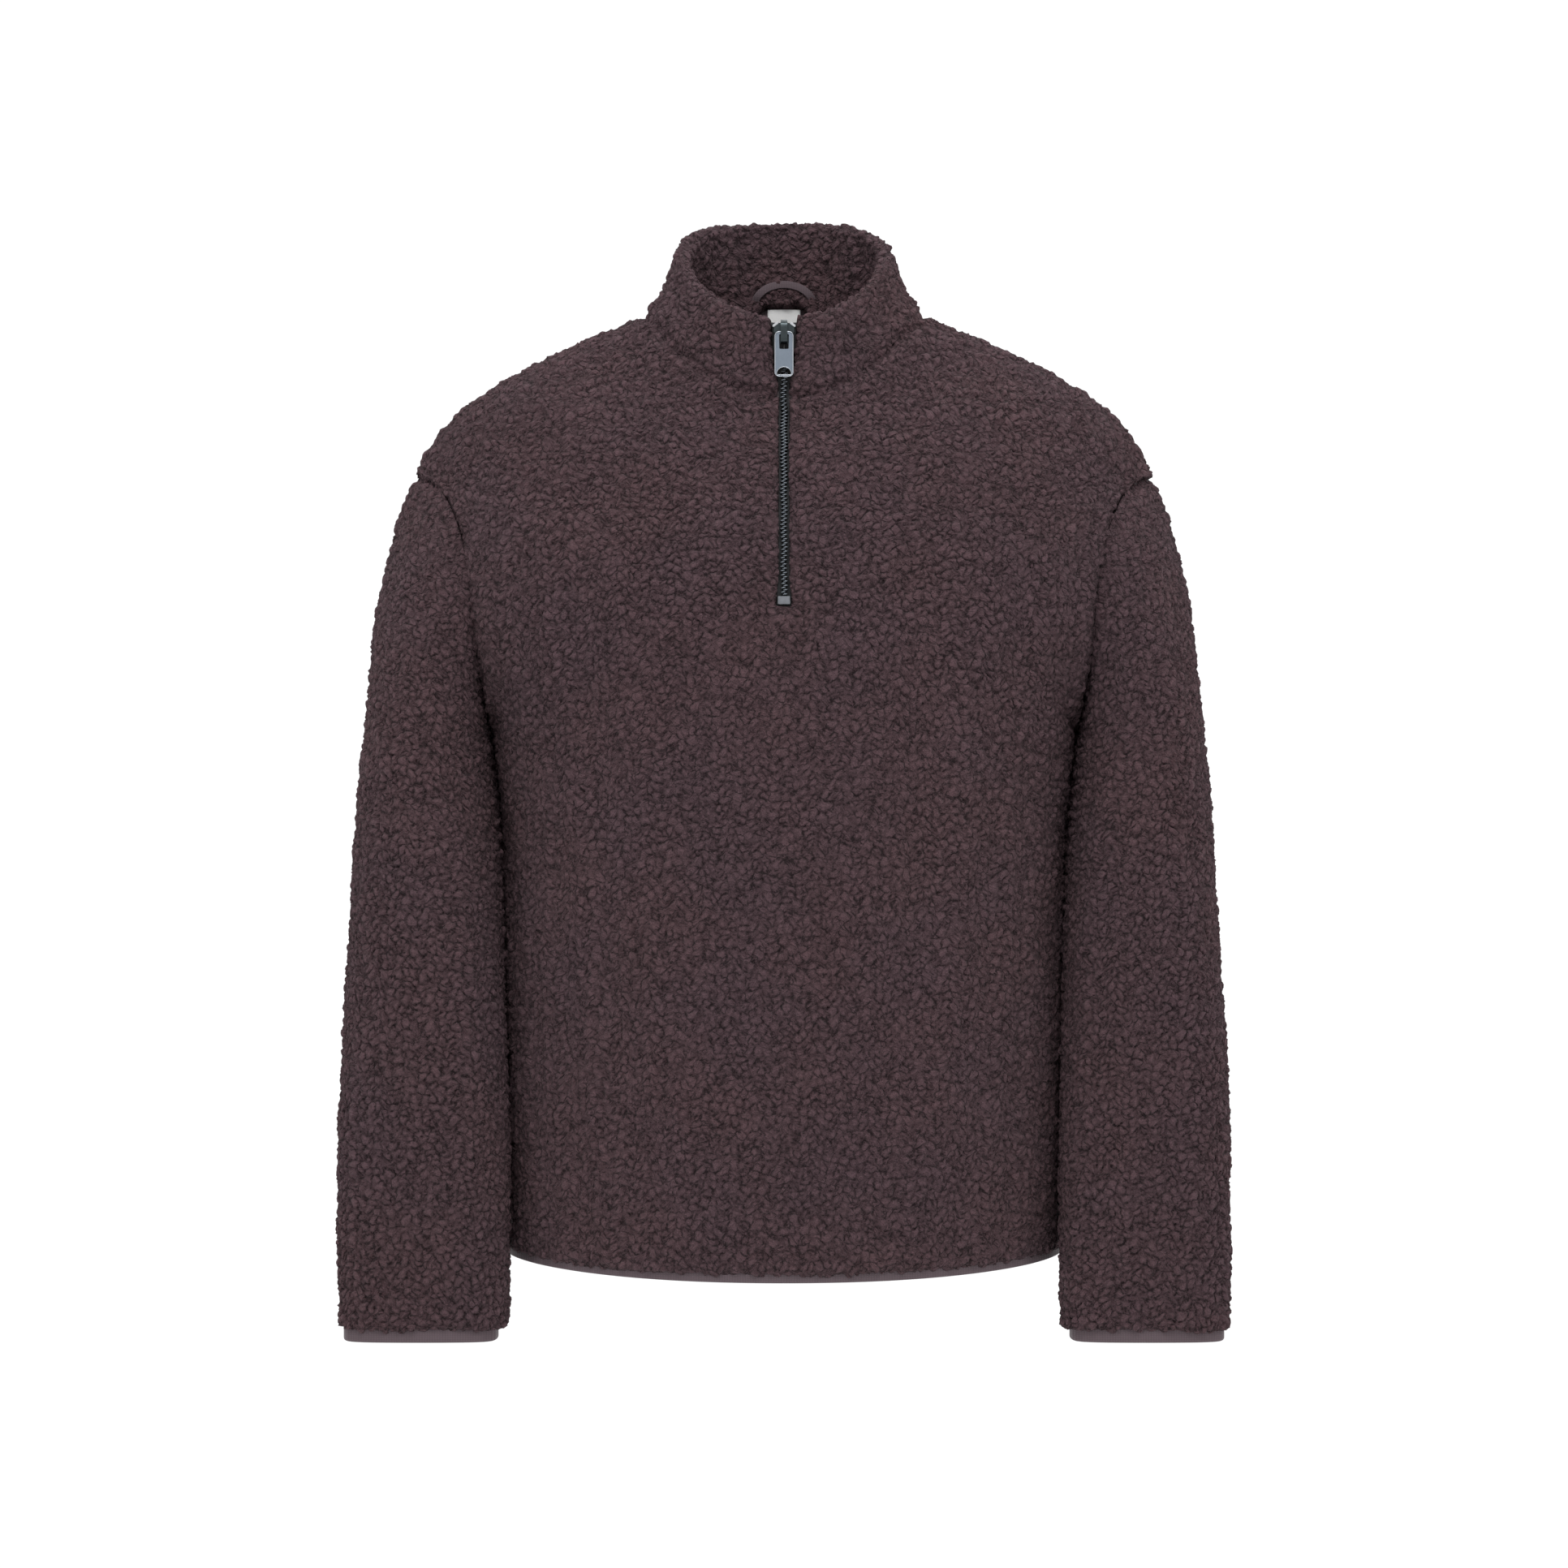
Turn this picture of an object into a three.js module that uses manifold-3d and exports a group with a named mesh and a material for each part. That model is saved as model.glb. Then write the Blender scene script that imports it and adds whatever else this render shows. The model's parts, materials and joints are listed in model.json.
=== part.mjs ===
// Sherpa fleece half-zip pullover in the shape it has when worn, with no wearer in it.
// Millimetres. +X is the wearer's left, -Y the front and +Z up. The origin is the middle of the neck,
// level with the inner ends of the shoulder seams, where the wearer's shoulders carry the garment.
import * as THREE from "three";
import { mergeVertices } from "three/addons/utils/BufferGeometryUtils.js";
import Module from "manifold-3d";

const wasm = await Module();
wasm.setup();

const { Vector3 } = THREE;
const QUARTER = Math.PI / 2;

// Cloth and seams
const FLEECE = 5; // sherpa fleece: knit backing and curled pile together
const TAPE = 0.8; // woven zip tape
const BINDING = 2.8; // jersey binding folded round a raw edge
const LABEL = 0.8; // woven label
const LOOP = 1.2; // hanging loop of folded jersey
const SEAM = 0.3; // gap between pieces that are sewn together
const LAYER_GAP = 0.45; // gap between curved layers, whose facets differ
const TAPE_DEPTH = FLEECE + LAYER_GAP; // the zip tape lies behind the front
const FACING_DEPTH = TAPE_DEPTH + TAPE + LAYER_GAP; // the collar's inner layer lies behind the tape

// Rows of the body's mesh, counted up from the hem
const UNDERARM_ROW = 9;
const ZIP_END_ROW = 13;
const SHOULDER_ROW = 21;
const NECK_ROW = 28;
const TOP_ROW = 32;

// Centre lines of front and back. z is the height, depth the distance ahead of or behind the side seams.
// square is the section's shape: 1 for an ellipse, more for a flatter front and side. tilt is 1 where a
// row lies in a slanting plane, and 0 where it is level at the sides.
const CENTRE = table("row zFront front zBack back square tilt", [
  [0, -663.5, 128, -662, 117, 1.15, 0],
  [3, -552, 134, -552, 121, 1.2, 0],
  [6, -428, 138, -424, 123, 1.25, 0],
  [9, -300, 141, -290, 122, 1.25, 0],
  [13, -203, 138, -215, 120, 1.2, 0],
  [17, -164, 131, -150, 116, 1.15, 0],
  [21, -126, 117, -92, 107, 1.1, 0],
  [24, -97, 101, -45, 93, 1.05, 0],
  [28, -58, 72, 13, 64, 1, 0],
  [30, -31, 68, 43, 67, 1, 0.5],
  [32, -4.5, 66, 73, 69, 1, 1],
]);

// Side edges of the panels: the side seam, then the shoulder seam and the collar's side.
const SIDE_SEAM = table("row z width", [
  [0, -657, 204],
  [3, -545, 201.5],
  [6, -425, 201.5],
  [8, -332, 203],
  [9, -290, 207],
]);
const SHOULDER_SEAM = table("row z width", [
  [21, -111, 263.5],
  [22, -92, 253.5],
  [23, -72, 238],
  [24, -54, 215],
  [25, -38, 188],
  [26, -24, 160],
  [27, -10.5, 131],
  [28, 3.5, 98.5],
  [29, 16, 89],
  [30, 28, 83],
  [31, 40, 79],
  [32, 50.5, 75],
]);

// How far the sections have turned at the panels' edges, as a share of a quarter: less beside the arms.
const SECTION_END = table("row share", [
  [0, 1],
  [9, 1],
  [11, 0.88],
  [13, 0.75],
  [15, 0.68],
  [18, 0.68],
  [21, 0.79],
  [22, 0.89],
  [24, 1],
  [32, 1],
]);

// Half the width of the gap that the zip closes: wider at the top, where the slider pushes the pile aside.
const ZIP_GAP = table("row half", [
  [13, 5.2],
  [14, 4.5],
  [15, 3.7],
  [28.5, 3.7],
  [30, 7.6],
  [32, 9.2],
]);

// Rings of the left sleeve, from the armhole to the cuff. Each ring is a slanted oval: out and in are its
// outermost point and the one beside the body, y its middle and depth half its size from front to back.
// bow draws the seam towards the chest, and square flattens the oval's sides.
const SLEEVE = table("row outX outZ inX inZ y depth bow square", [
  [0, 263.5, -111, 207, -290, 0, 78, 34, 0],
  [1, 275.5, -143, 208, -302, -2, 80, 24, 0.04],
  [3, 286, -192, 206.5, -323, -9, 80, 12, 0.08],
  [5, 293, -248, 204, -350, -19, 78, 4, 0.1],
  [7.5, 299.3, -325, 201, -397, -33, 72, 0, 0.12],
  [10, 304.3, -415, 199, -462, -46, 63, 0, 0.15],
  [12, 309.5, -508, 197.5, -535, -55, 51, 0, 0.2],
  [14, 313, -600, 196.5, -612, -63, 39, 0, 0.25],
  [15.5, 313.2, -668, 197, -671, -68, 30, 0, 0.3],
  [17, 312, -709, 197, -709, -71, 25, 0, 0.34],
]);
const CUFF_ROW = 17;
const ARMHOLE_STEPS = SHOULDER_ROW - UNDERARM_ROW;
const UNDERARM_TURN = Math.PI;
const BACK_BOW = 0.55; // the armhole's seam bows less at the back

// The panels are smoothed within SOFT_REACH rows of the armhole's corners, over SOFT_ROWS to each side.
const SOFT_REACH = 6;
const SOFT_ROWS = 3;
const SOFT_WEIGHTS = [1, 4, 6, 4, 1].map((weight) => weight / 16);

// Soft troughs in the body's panels, from one point to another. turn is 0 at the centre line and 1 at the
// side edge; spread is the half width in mm, and deep how far the cloth sinks.
const FOLDS = table("half row turn toRow toTurn spread deep", [
  [-1, 21.6, 0.9, 16.4, 0.955, 13, 3.2],
  [1, 21.6, 0.89, 17, 0.95, 14, 2.8],
  [-1, 9.4, 0.93, 5.2, 0.72, 16, 2.2],
  [1, 9.4, 0.92, 4.6, 0.66, 18, 2.8],
  [1, 15.5, 0.86, 12.2, 0.55, 20, 2.4],
]);

// Turns of the panels' columns, closer together beside the armhole
const TURNS = [0, 0.12, 0.24, 0.36, 0.48, 0.59, 0.7, 0.79, 0.87, 0.94, 1];

// Trims
const BINDING_INSET = 3.4; // the pile stands this far over the binding
const CUFF_BINDING_TALL = 7.6;
const HEM_BINDING_TALL = 6.4;
const TAPE_WIDE = 14;
const TAPE_TAIL = 0.7; // rows that the tape runs on below the zip's end
const CHAIN_HALF = 3.1;
const CHAIN_FRONT = 0.9; // the teeth lie this far under the pile's surface
const CHAIN_BACK = FLEECE;
const LABEL_WIDE = 24.5;
const LABEL_TALL = 34;
const LOOP_SPAN = 27; // half the distance between the loop's ends
const LOOP_TALL = 15;
const LOOP_WIDE = 5.4;
const LOOP_STEPS = 20;

// Zip slider and pull tab, in their own frame: x across, y up the zip, z out from the cloth
const SLIDER = { footWide: 10.4, long: 17.5, plate: 1.5, front: -2.6, back: -8.6 };
const SLIDER_TOP = -4; // height of the slider's top end
const SHOULDER = { near: 2.6, high: 2.8, far: 7.1, low: 6 }; // its shoulders slope from near and high to far and low
const POST_WIDE = 2.2;
const CROWN = { wide: 4.6, long: 16.5, tall: 4, roof: 1.3, foot: 3.2, sunk: 0.4, floor: 0.9 };
const TAB = { wide: 13.2, long: 31, thick: 1.6, corner: 3.2, lip: 2.2 };
const TAB_SLOT = { wide: 6.2, long: 11.2 };
const TAB_EYE = { radius: 5, centre: 29.3 };
const TAB_LEAN = 0.06; // the tab's tail rests on the pile
const PIVOT_DROP = 10.2; // from the slider's top end down to the pull tab's lip
const BOTTOM_STOP = { wide: 8.6, tall: 5.6, thick: 4.4 };
const TOP_STOP = { wide: 1.9, tall: 4.8, thick: 3.2, clear: 0.5 }; // clear of the slider's shoulder

function table(columns, rows) {
  const names = columns.split(" ");
  return rows.map((row) => Object.fromEntries(row.map((value, i) => [names[i], value])));
}

// A curve through a table's column that never overshoots its rows (a monotone cubic).
function curve(rows, column) {
  const x = rows.map((r) => r.row);
  const y = rows.map((r) => r[column]);
  const step = x.slice(1).map((v, i) => v - x[i]);
  const rise = step.map((h, i) => (y[i + 1] - y[i]) / h);
  const slope = x.map((_, i) => {
    if (i === 0) return rise[0];
    if (i === x.length - 1) return rise[i - 1];
    if (rise[i - 1] * rise[i] <= 0) return 0;
    const before = 2 * step[i] + step[i - 1];
    const after = step[i] + 2 * step[i - 1];
    return (before + after) / (before / rise[i - 1] + after / rise[i]);
  });
  return (at) => {
    let i = step.length - 1;
    while (i > 0 && at < x[i]) i -= 1;
    const t = Math.min(Math.max((at - x[i]) / step[i], 0), 1);
    const bend = (3 - 2 * t) * t * t;
    const tail = t * (1 - t) ** 2 * slope[i] - t * t * (1 - t) * slope[i + 1];
    return y[i] + (y[i + 1] - y[i]) * bend + step[i] * tail;
  };
}

function curves(rows) {
  const columns = Object.keys(rows[0]).filter((name) => name !== "row");
  const made = columns.map((name) => [name, curve(rows, name)]);
  return (at) => Object.fromEntries(made.map(([name, f]) => [name, f(at)]));
}

const centreAt = curves(CENTRE);
const sideSeamAt = curves(SIDE_SEAM);
const shoulderSeamAt = curves(SHOULDER_SEAM);
const sectionEndAt = curve(SECTION_END, "share");
const sleeveAt = curves(SLEEVE);
const zipGapAt = curve(ZIP_GAP, "half");

// A point of the left sleeve. turn is 0 at the outermost point, a quarter at the front, half at the inside.
function sleevePoint(row, turn) {
  const ring = sleeveAt(row);
  const c = Math.cos(turn);
  const s = Math.sin(turn);
  const along = c * (1 + ring.square * s * s);
  const across = s * (1 + ring.square * c * c);
  const bow = ring.bow * (s > 0 ? 1 : BACK_BOW) * Math.abs(s) * (1 + c) * 0.5;
  return new Vector3(
    (ring.outX + ring.inX) / 2 + ((ring.outX - ring.inX) / 2) * along - bow,
    ring.y - ring.depth * across,
    (ring.outZ + ring.inZ) / 2 + ((ring.outZ - ring.inZ) / 2) * along,
  );
}

// How far round the armhole a row of the body's mesh meets it, in the sleeve's turn.
function armholeTurn(row, half) {
  return -half * UNDERARM_TURN * (1 - (row - UNDERARM_ROW) / ARMHOLE_STEPS);
}

// Where a row of a panel ends: on the side seam, the armhole or the shoulder seam. half is -1 in front.
function edgePoint(row, half) {
  if (row > UNDERARM_ROW && row < SHOULDER_ROW) return sleevePoint(0, armholeTurn(row, half));
  const seam = row <= UNDERARM_ROW ? sideSeamAt(row) : shoulderSeamAt(row);
  return new Vector3(seam.width, 0, seam.z);
}

const sectionEnd = (row) => QUARTER * sectionEndAt(row);

// A point on the outside of the left half of the body or collar, straight from the tables.
function tablePoint(row, half, turn) {
  const centre = centreAt(row);
  const edge = edgePoint(row, half);
  const end = sectionEnd(row);
  const round = ((1 - Math.cos(turn * end)) / (1 - Math.cos(end))) ** centre.square;
  const [depth, height] = half < 0 ? [centre.front, centre.zFront] : [centre.back, centre.zBack];
  const face = Math.cos(turn * QUARTER);
  const slant = (centre.tilt * (centre.zBack - centre.zFront)) / 2;
  const sag = height - edge.z - half * slant;
  return new Vector3(
    (edge.x * Math.sin(turn * end)) / Math.sin(end),
    half * (depth + (Math.abs(edge.y) - depth) * round),
    edge.z + half * slant * face + sag * face * face,
  );
}

// The same point, averaged along the rows near the corners of the armhole. At the edge nothing changes.
function smoothPoint(row, half, turn) {
  const near = (corner) => Math.max(0, 1 - ((row - corner) / SOFT_REACH) ** 2) ** 2;
  const reach = SOFT_ROWS * Math.max(near(UNDERARM_ROW), near(SHOULDER_ROW)) * (1 - turn ** 6);
  const sum = new Vector3();
  SOFT_WEIGHTS.forEach((weight, i) => {
    sum.addScaledVector(tablePoint(row + (i / 2 - 1) * reach, half, turn), weight);
  });
  return sum;
}

// The unit vector out of a surface that is given as a function of two parameters.
function outwards(point, a, b, aLow, aHigh, sign) {
  const h = 0.02;
  const up = point(Math.min(a + h, aHigh), b).sub(point(Math.max(a - h, aLow), b));
  const round = point(a, b + h).sub(point(a, b - h));
  return round.cross(up).multiplyScalar(sign).normalize();
}

const bodyNormal = (row, half, turn) =>
  outwards((r, t) => smoothPoint(r, half, t), row, turn, 0, TOP_ROW, -half);

// How deep the folds have sunk a point: a smooth trough that fades towards both ends.
function foldDepth(row, half, turn) {
  const here = smoothPoint(row, half, turn);
  let deep = 0;
  for (const fold of FOLDS) {
    if (fold.half !== half) continue;
    const from = smoothPoint(fold.row, half, fold.turn);
    const line = smoothPoint(fold.toRow, half, fold.toTurn).sub(from);
    const along = here.clone().sub(from).dot(line) / line.lengthSq();
    if (along <= 0 || along >= 1) continue;
    const off = here.clone().sub(from).addScaledVector(line, -along).length() / fold.spread;
    deep += fold.deep * Math.sin(Math.PI * along) * Math.exp(-off * off);
  }
  return deep;
}

// The turn at which a row of the front lies x from the centre line.
function turnAt(row, x) {
  const end = sectionEnd(row);
  return Math.asin((x * Math.sin(end)) / edgePoint(row, -1).x) / end;
}

// Out of the cloth on a seam: midway between the normals of the pieces that meet there.
const seamNormal = (row) => bodyNormal(row, -1, 1).add(bodyNormal(row, 1, 1)).normalize();

function armholeNormal(turn) {
  const row = UNDERARM_ROW + ARMHOLE_STEPS * (1 - Math.abs(turn) / UNDERARM_TURN);
  const atSide = row === UNDERARM_ROW || row === SHOULDER_ROW;
  const body = atSide ? seamNormal(row) : bodyNormal(row, turn > 0 ? -1 : 1, 1);
  return outwards(sleevePoint, 0, turn, 0, CUFF_ROW, 1).add(body).normalize();
}

// A point of the body or collar that lies depth under the pile's surface. side is 1 on the left.
function bodyPoint(row, half, side, turn, depth) {
  const sunk = depth + foldDepth(row, half, turn);
  const out = turn === 1 ? seamNormal(row) : bodyNormal(row, half, turn);
  const p = smoothPoint(row, half, turn).addScaledVector(out, -sunk);
  return new Vector3(p.x * side, p.y, p.z);
}

// A closed wall between a grid of outer points and the matching inner ones. cloth says which cells there
// are, and around joins the last column to the first. Its faces are turned to point out.
function wall(outer, inner, { cloth = () => true, around = false } = {}) {
  const rows = outer.length;
  const columns = outer[0].length;
  const cells = around ? columns : columns - 1;
  const id = (layer, i, j) => (layer * rows + i) * columns + (j % columns);
  const filled = (i, j) => {
    if (i < 0 || i >= rows - 1 || (!around && (j < 0 || j >= cells))) return false;
    return cloth(i, (j + cells) % cells);
  };
  const points = [...outer.flat(), ...inner.flat()];
  const faces = [];
  const quad = (a, b, c, d) => faces.push(a, b, c, a, c, d);
  for (let i = 0; i < rows - 1; i += 1) {
    for (let j = 0; j < cells; j += 1) {
      if (!filled(i, j)) continue;
      const corner = [[i, j], [i, j + 1], [i + 1, j + 1], [i + 1, j]];
      const beside = [[i - 1, j], [i, j + 1], [i + 1, j], [i, j - 1]];
      const front = corner.map(([r, c]) => id(0, r, c));
      const behind = corner.map(([r, c]) => id(1, r, c));
      quad(...front);
      quad(...behind.slice().reverse());
      beside.forEach(([r, c], k) => {
        if (filled(r, c)) return;
        const next = (k + 1) % 4;
        const rim = [front[next], front[k], behind[k], behind[next]];
        const [a, b, d, e] = rim.map((n) => points[n]);
        if (a.distanceTo(d) < b.distanceTo(e)) quad(...rim);
        else quad(...rim.slice(1), rim[0]);
      });
    }
  }
  let volume = 0;
  for (let k = 0; k < faces.length; k += 3) {
    const [a, b, c] = [points[faces[k]], points[faces[k + 1]], points[faces[k + 2]]];
    volume += a.dot(new Vector3().crossVectors(b, c));
  }
  if (volume < 0) faces.reverse();
  return new THREE.BufferGeometry()
    .setAttribute("position", new THREE.Float32BufferAttribute(points.flatMap((p) => p.toArray()), 3))
    .setIndex(faces);
}

// Draws the points of one edge back from a seam, towards the points beside them.
function drawBack(layers, edge, beside, gap) {
  for (const layer of layers) {
    edge.forEach(([i, j], k) => {
      const [r, c] = beside[k];
      const move = layer[r][c].clone().sub(layer[i][j]).setLength(gap);
      layer[i][j].add(move);
    });
  }
}

const range = (from, to) => Array.from({ length: to - from + 1 }, (_, i) => from + i);

// Front or back panel: a wall from the hem to the collar seam, open at the zip.
function panel(half) {
  const front = half < 0;
  const rows = range(0, NECK_ROW);
  const right = TURNS.slice().reverse().map((turn) => ({ side: -1, turn }));
  const left = TURNS.map((turn) => ({ side: 1, turn }));
  const columns = front ? [...right, ...left] : [...right, ...left.slice(1)];
  const place = (row, { side, turn }, depth) => {
    const start = front ? turnAt(row, zipGapAt(row)) : 0;
    const at = start + (1 - start) * turn;
    if (turn === 1 && row >= UNDERARM_ROW && row <= SHOULDER_ROW) {
      const around = armholeTurn(row, half);
      const p = sleevePoint(0, around).addScaledVector(armholeNormal(around), -depth);
      return new Vector3(p.x * side, p.y, p.z);
    }
    return bodyPoint(row, half, side, at, depth);
  };
  const layers = [0, FLEECE].map((depth) => rows.map((row) => columns.map((c) => place(row, c, depth))));
  const last = columns.length - 1;
  const seamRows = rows.filter((row) => row <= UNDERARM_ROW || row >= SHOULDER_ROW);
  drawBack(layers, seamRows.map((i) => [i, 0]), seamRows.map((i) => [i, 1]), SEAM / 2);
  drawBack(layers, seamRows.map((i) => [i, last]), seamRows.map((i) => [i, last - 1]), SEAM / 2);
  const top = columns.map((_, j) => [NECK_ROW, j]);
  drawBack(layers, top, columns.map((_, j) => [NECK_ROW - 1, j]), SEAM / 2);
  const slot = TURNS.length - 1;
  return wall(...layers, { cloth: (i, j) => !(front && i >= ZIP_END_ROW && j === slot) });
}

// Sleeve: a tube from the armhole to the cuff. side is 1 for the left sleeve.
function sleeve(side) {
  const around = range(0, 2 * ARMHOLE_STEPS - 1).map((k) => {
    const turn = (UNDERARM_TURN * k) / ARMHOLE_STEPS;
    return turn > UNDERARM_TURN ? turn - 2 * UNDERARM_TURN : turn;
  });
  const rings = range(0, CUFF_ROW);
  const place = (row, turn, depth) => {
    const p = sleevePoint(row, turn);
    if (row > 0) return p.addScaledVector(outwards(sleevePoint, row, turn, 0, CUFF_ROW, 1), -depth);
    const out = armholeNormal(turn);
    const alongSeam = sleevePoint(0, turn + 0.02).sub(sleevePoint(0, turn - 0.02));
    const fromSeam = new Vector3().crossVectors(out, alongSeam).setLength(SEAM);
    return p.addScaledVector(out, -depth).add(fromSeam);
  };
  const mirrored = (p) => new Vector3(p.x * side, p.y, p.z);
  const layers = [0, FLEECE].map((depth) =>
    rings.map((row) => around.map((turn) => mirrored(place(row, turn, depth)))),
  );
  return wall(...layers, { around: true });
}

// Collar layer: from one side of the zip round the neck to the other. depth is that of its outer face.
function collar(depth) {
  const rows = range(NECK_ROW, TOP_ROW);
  const half = (side, turns, body) => turns.map((turn) => ({ side, turn, body }));
  const there = TURNS;
  const home = TURNS.slice(0, -1).reverse();
  const columns = [
    ...half(-1, there, -1),
    ...half(-1, home, 1),
    ...half(1, TURNS.slice(1), 1),
    ...half(1, home, -1),
  ];
  const place = (row, { side, turn, body }, down) => {
    const start = body < 0 ? turnAt(row, zipGapAt(row)) : 0;
    return bodyPoint(row, body, side, start + (1 - start) * turn, down);
  };
  const layers = [depth, depth + FLEECE].map((down) =>
    rows.map((row) => columns.map((c) => place(row, c, down))),
  );
  const seam = columns.map((_, j) => [0, j]);
  drawBack(layers, seam, columns.map((_, j) => [1, j]), SEAM / 2);
  return wall(...layers);
}

// Binding that hangs below an edge: a ring under the edge's points, set in from the pile.
function binding(edge, tall) {
  const level = (inset, drop) => edge(inset).map((p) => new Vector3(p.x, p.y, p.z - SEAM - drop));
  const round = 0.9; // the fold at its lower edge
  const outer = [0, tall - round, tall].map((drop, i) => level(BINDING_INSET + (i === 2 ? round : 0), drop));
  const inner = [0, tall - round, tall].map((drop, i) =>
    level(BINDING_INSET + BINDING - (i === 2 ? round : 0), drop),
  );
  return wall(outer, inner, { around: true });
}

function hemEdge(inset) {
  const there = TURNS.slice(1);
  const home = TURNS.slice(0, -1).reverse();
  const stretch = (half, side, turns) => turns.map((turn) => bodyPoint(0, half, side, turn, inset));
  return [
    ...stretch(-1, 1, there),
    ...stretch(1, 1, home),
    ...stretch(1, -1, there),
    ...stretch(-1, -1, home),
  ];
}

function cuffEdge(side) {
  return (inset) =>
    range(0, 2 * ARMHOLE_STEPS - 1).map((k) => {
      const turn = (UNDERARM_TURN * k) / ARMHOLE_STEPS;
      const out = outwards(sleevePoint, CUFF_ROW, turn, 0, CUFF_ROW, 1);
      const p = sleevePoint(CUFF_ROW, turn).addScaledVector(out, -inset);
      return new Vector3(p.x * side, p.y, sleeveAt(CUFF_ROW).outZ);
    });
}

// A strip of the front between two distances from the centre line, at two depths.
function frontStrip(rows, side, fromX, toX, steps, depths) {
  const across = range(0, steps).map((k) => k / steps);
  const layers = depths.map((depth) =>
    rows.map((row) =>
      across.map((share) => {
        const x = fromX(row) + (toX(row) - fromX(row)) * share;
        const turn = Math.sign(x) * turnAt(row, Math.abs(x));
        return bodyPoint(row, -1, side, turn, depth);
      }),
    ),
  );
  return wall(...layers);
}

// The two tapes lie edge to edge below the slider and part above it.
const TAPE_PART = curve(table("row half", [[12, 0.3], [29.6, 0.3], [30.6, 1.9], [32, 2.4]]), "half");

function zipTape(side) {
  const rows = [ZIP_END_ROW - TAPE_TAIL, ...range(ZIP_END_ROW, TOP_ROW - 1), TOP_ROW - 0.15];
  return frontStrip(rows, side, TAPE_PART, () => TAPE_WIDE, 2, [TAPE_DEPTH, TAPE_DEPTH + TAPE]);
}

// Heights on the zip's line, turned into rows of the mesh.
function rowAtHeight(z) {
  let low = 0;
  let high = TOP_ROW;
  for (let k = 0; k < 40; k += 1) {
    const middle = (low + high) / 2;
    if (centreAt(middle).zFront < z) low = middle;
    else high = middle;
  }
  return (low + high) / 2;
}

const STOP_TOP = centreAt(ZIP_END_ROW).zFront + BOTTOM_STOP.tall + 1;
const SLIDER_FOOT = SLIDER_TOP - SLIDER.long;

function zipChain() {
  const first = rowAtHeight(STOP_TOP + SEAM);
  const last = rowAtHeight(SLIDER_FOOT - SEAM - 0.2);
  const rows = [first, ...range(Math.ceil(first + 0.3), Math.floor(last - 0.3)), last];
  const half = () => CHAIN_HALF;
  return frontStrip(rows, 1, () => -CHAIN_HALF, half, 2, [CHAIN_FRONT, CHAIN_BACK]);
}

// The frame of something that sits on the zip at a height: x across, y up the zip, z out of the cloth.
function zipFrame(z) {
  const row = rowAtHeight(z);
  const out = bodyNormal(row, -1, 0);
  const across = new Vector3(1, 0, 0);
  const up = new Vector3().crossVectors(out, across);
  const at = smoothPoint(row, -1, 0);
  return new THREE.Matrix4().makeBasis(across, up, out).setPosition(at);
}

function extruded(shape, thick, from, bevel = 0) {
  const made = new THREE.ExtrudeGeometry(shape, {
    depth: thick - 2 * bevel,
    bevelEnabled: bevel > 0,
    bevelThickness: bevel,
    bevelSize: bevel,
    bevelOffset: -bevel,
    bevelSegments: 1,
    curveSegments: 6,
  });
  return made.translate(0, 0, from + bevel);
}

function roundedShape(left, bottom, right, top, corner) {
  const shape = new THREE.Shape();
  shape.absarc(right - corner, bottom + corner, corner, -QUARTER, 0);
  shape.absarc(right - corner, top - corner, corner, 0, QUARTER);
  shape.absarc(left + corner, top - corner, corner, QUARTER, 2 * QUARTER);
  shape.absarc(left + corner, bottom + corner, corner, 2 * QUARTER, 3 * QUARTER);
  shape.closePath();
  return shape;
}

function solidOf(geometry) {
  const bare = geometry.clone();
  bare.deleteAttribute("normal");
  bare.deleteAttribute("uv");
  const merged = mergeVertices(bare, 1e-4);
  return new wasm.Manifold(
    new wasm.Mesh({
      numProp: 3,
      vertProperties: new Float32Array(merged.attributes.position.array),
      triVerts: new Uint32Array(merged.index.array),
    }),
  );
}

function geometryOf(solid) {
  const mesh = solid.getMesh();
  return new THREE.BufferGeometry()
    .setAttribute("position", new THREE.BufferAttribute(mesh.vertProperties, 3))
    .setIndex(new THREE.BufferAttribute(mesh.triVerts, 1));
}

const joined = (...parts) => geometryOf(parts.map(solidOf).reduce((whole, part) => whole.add(part)));

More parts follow.
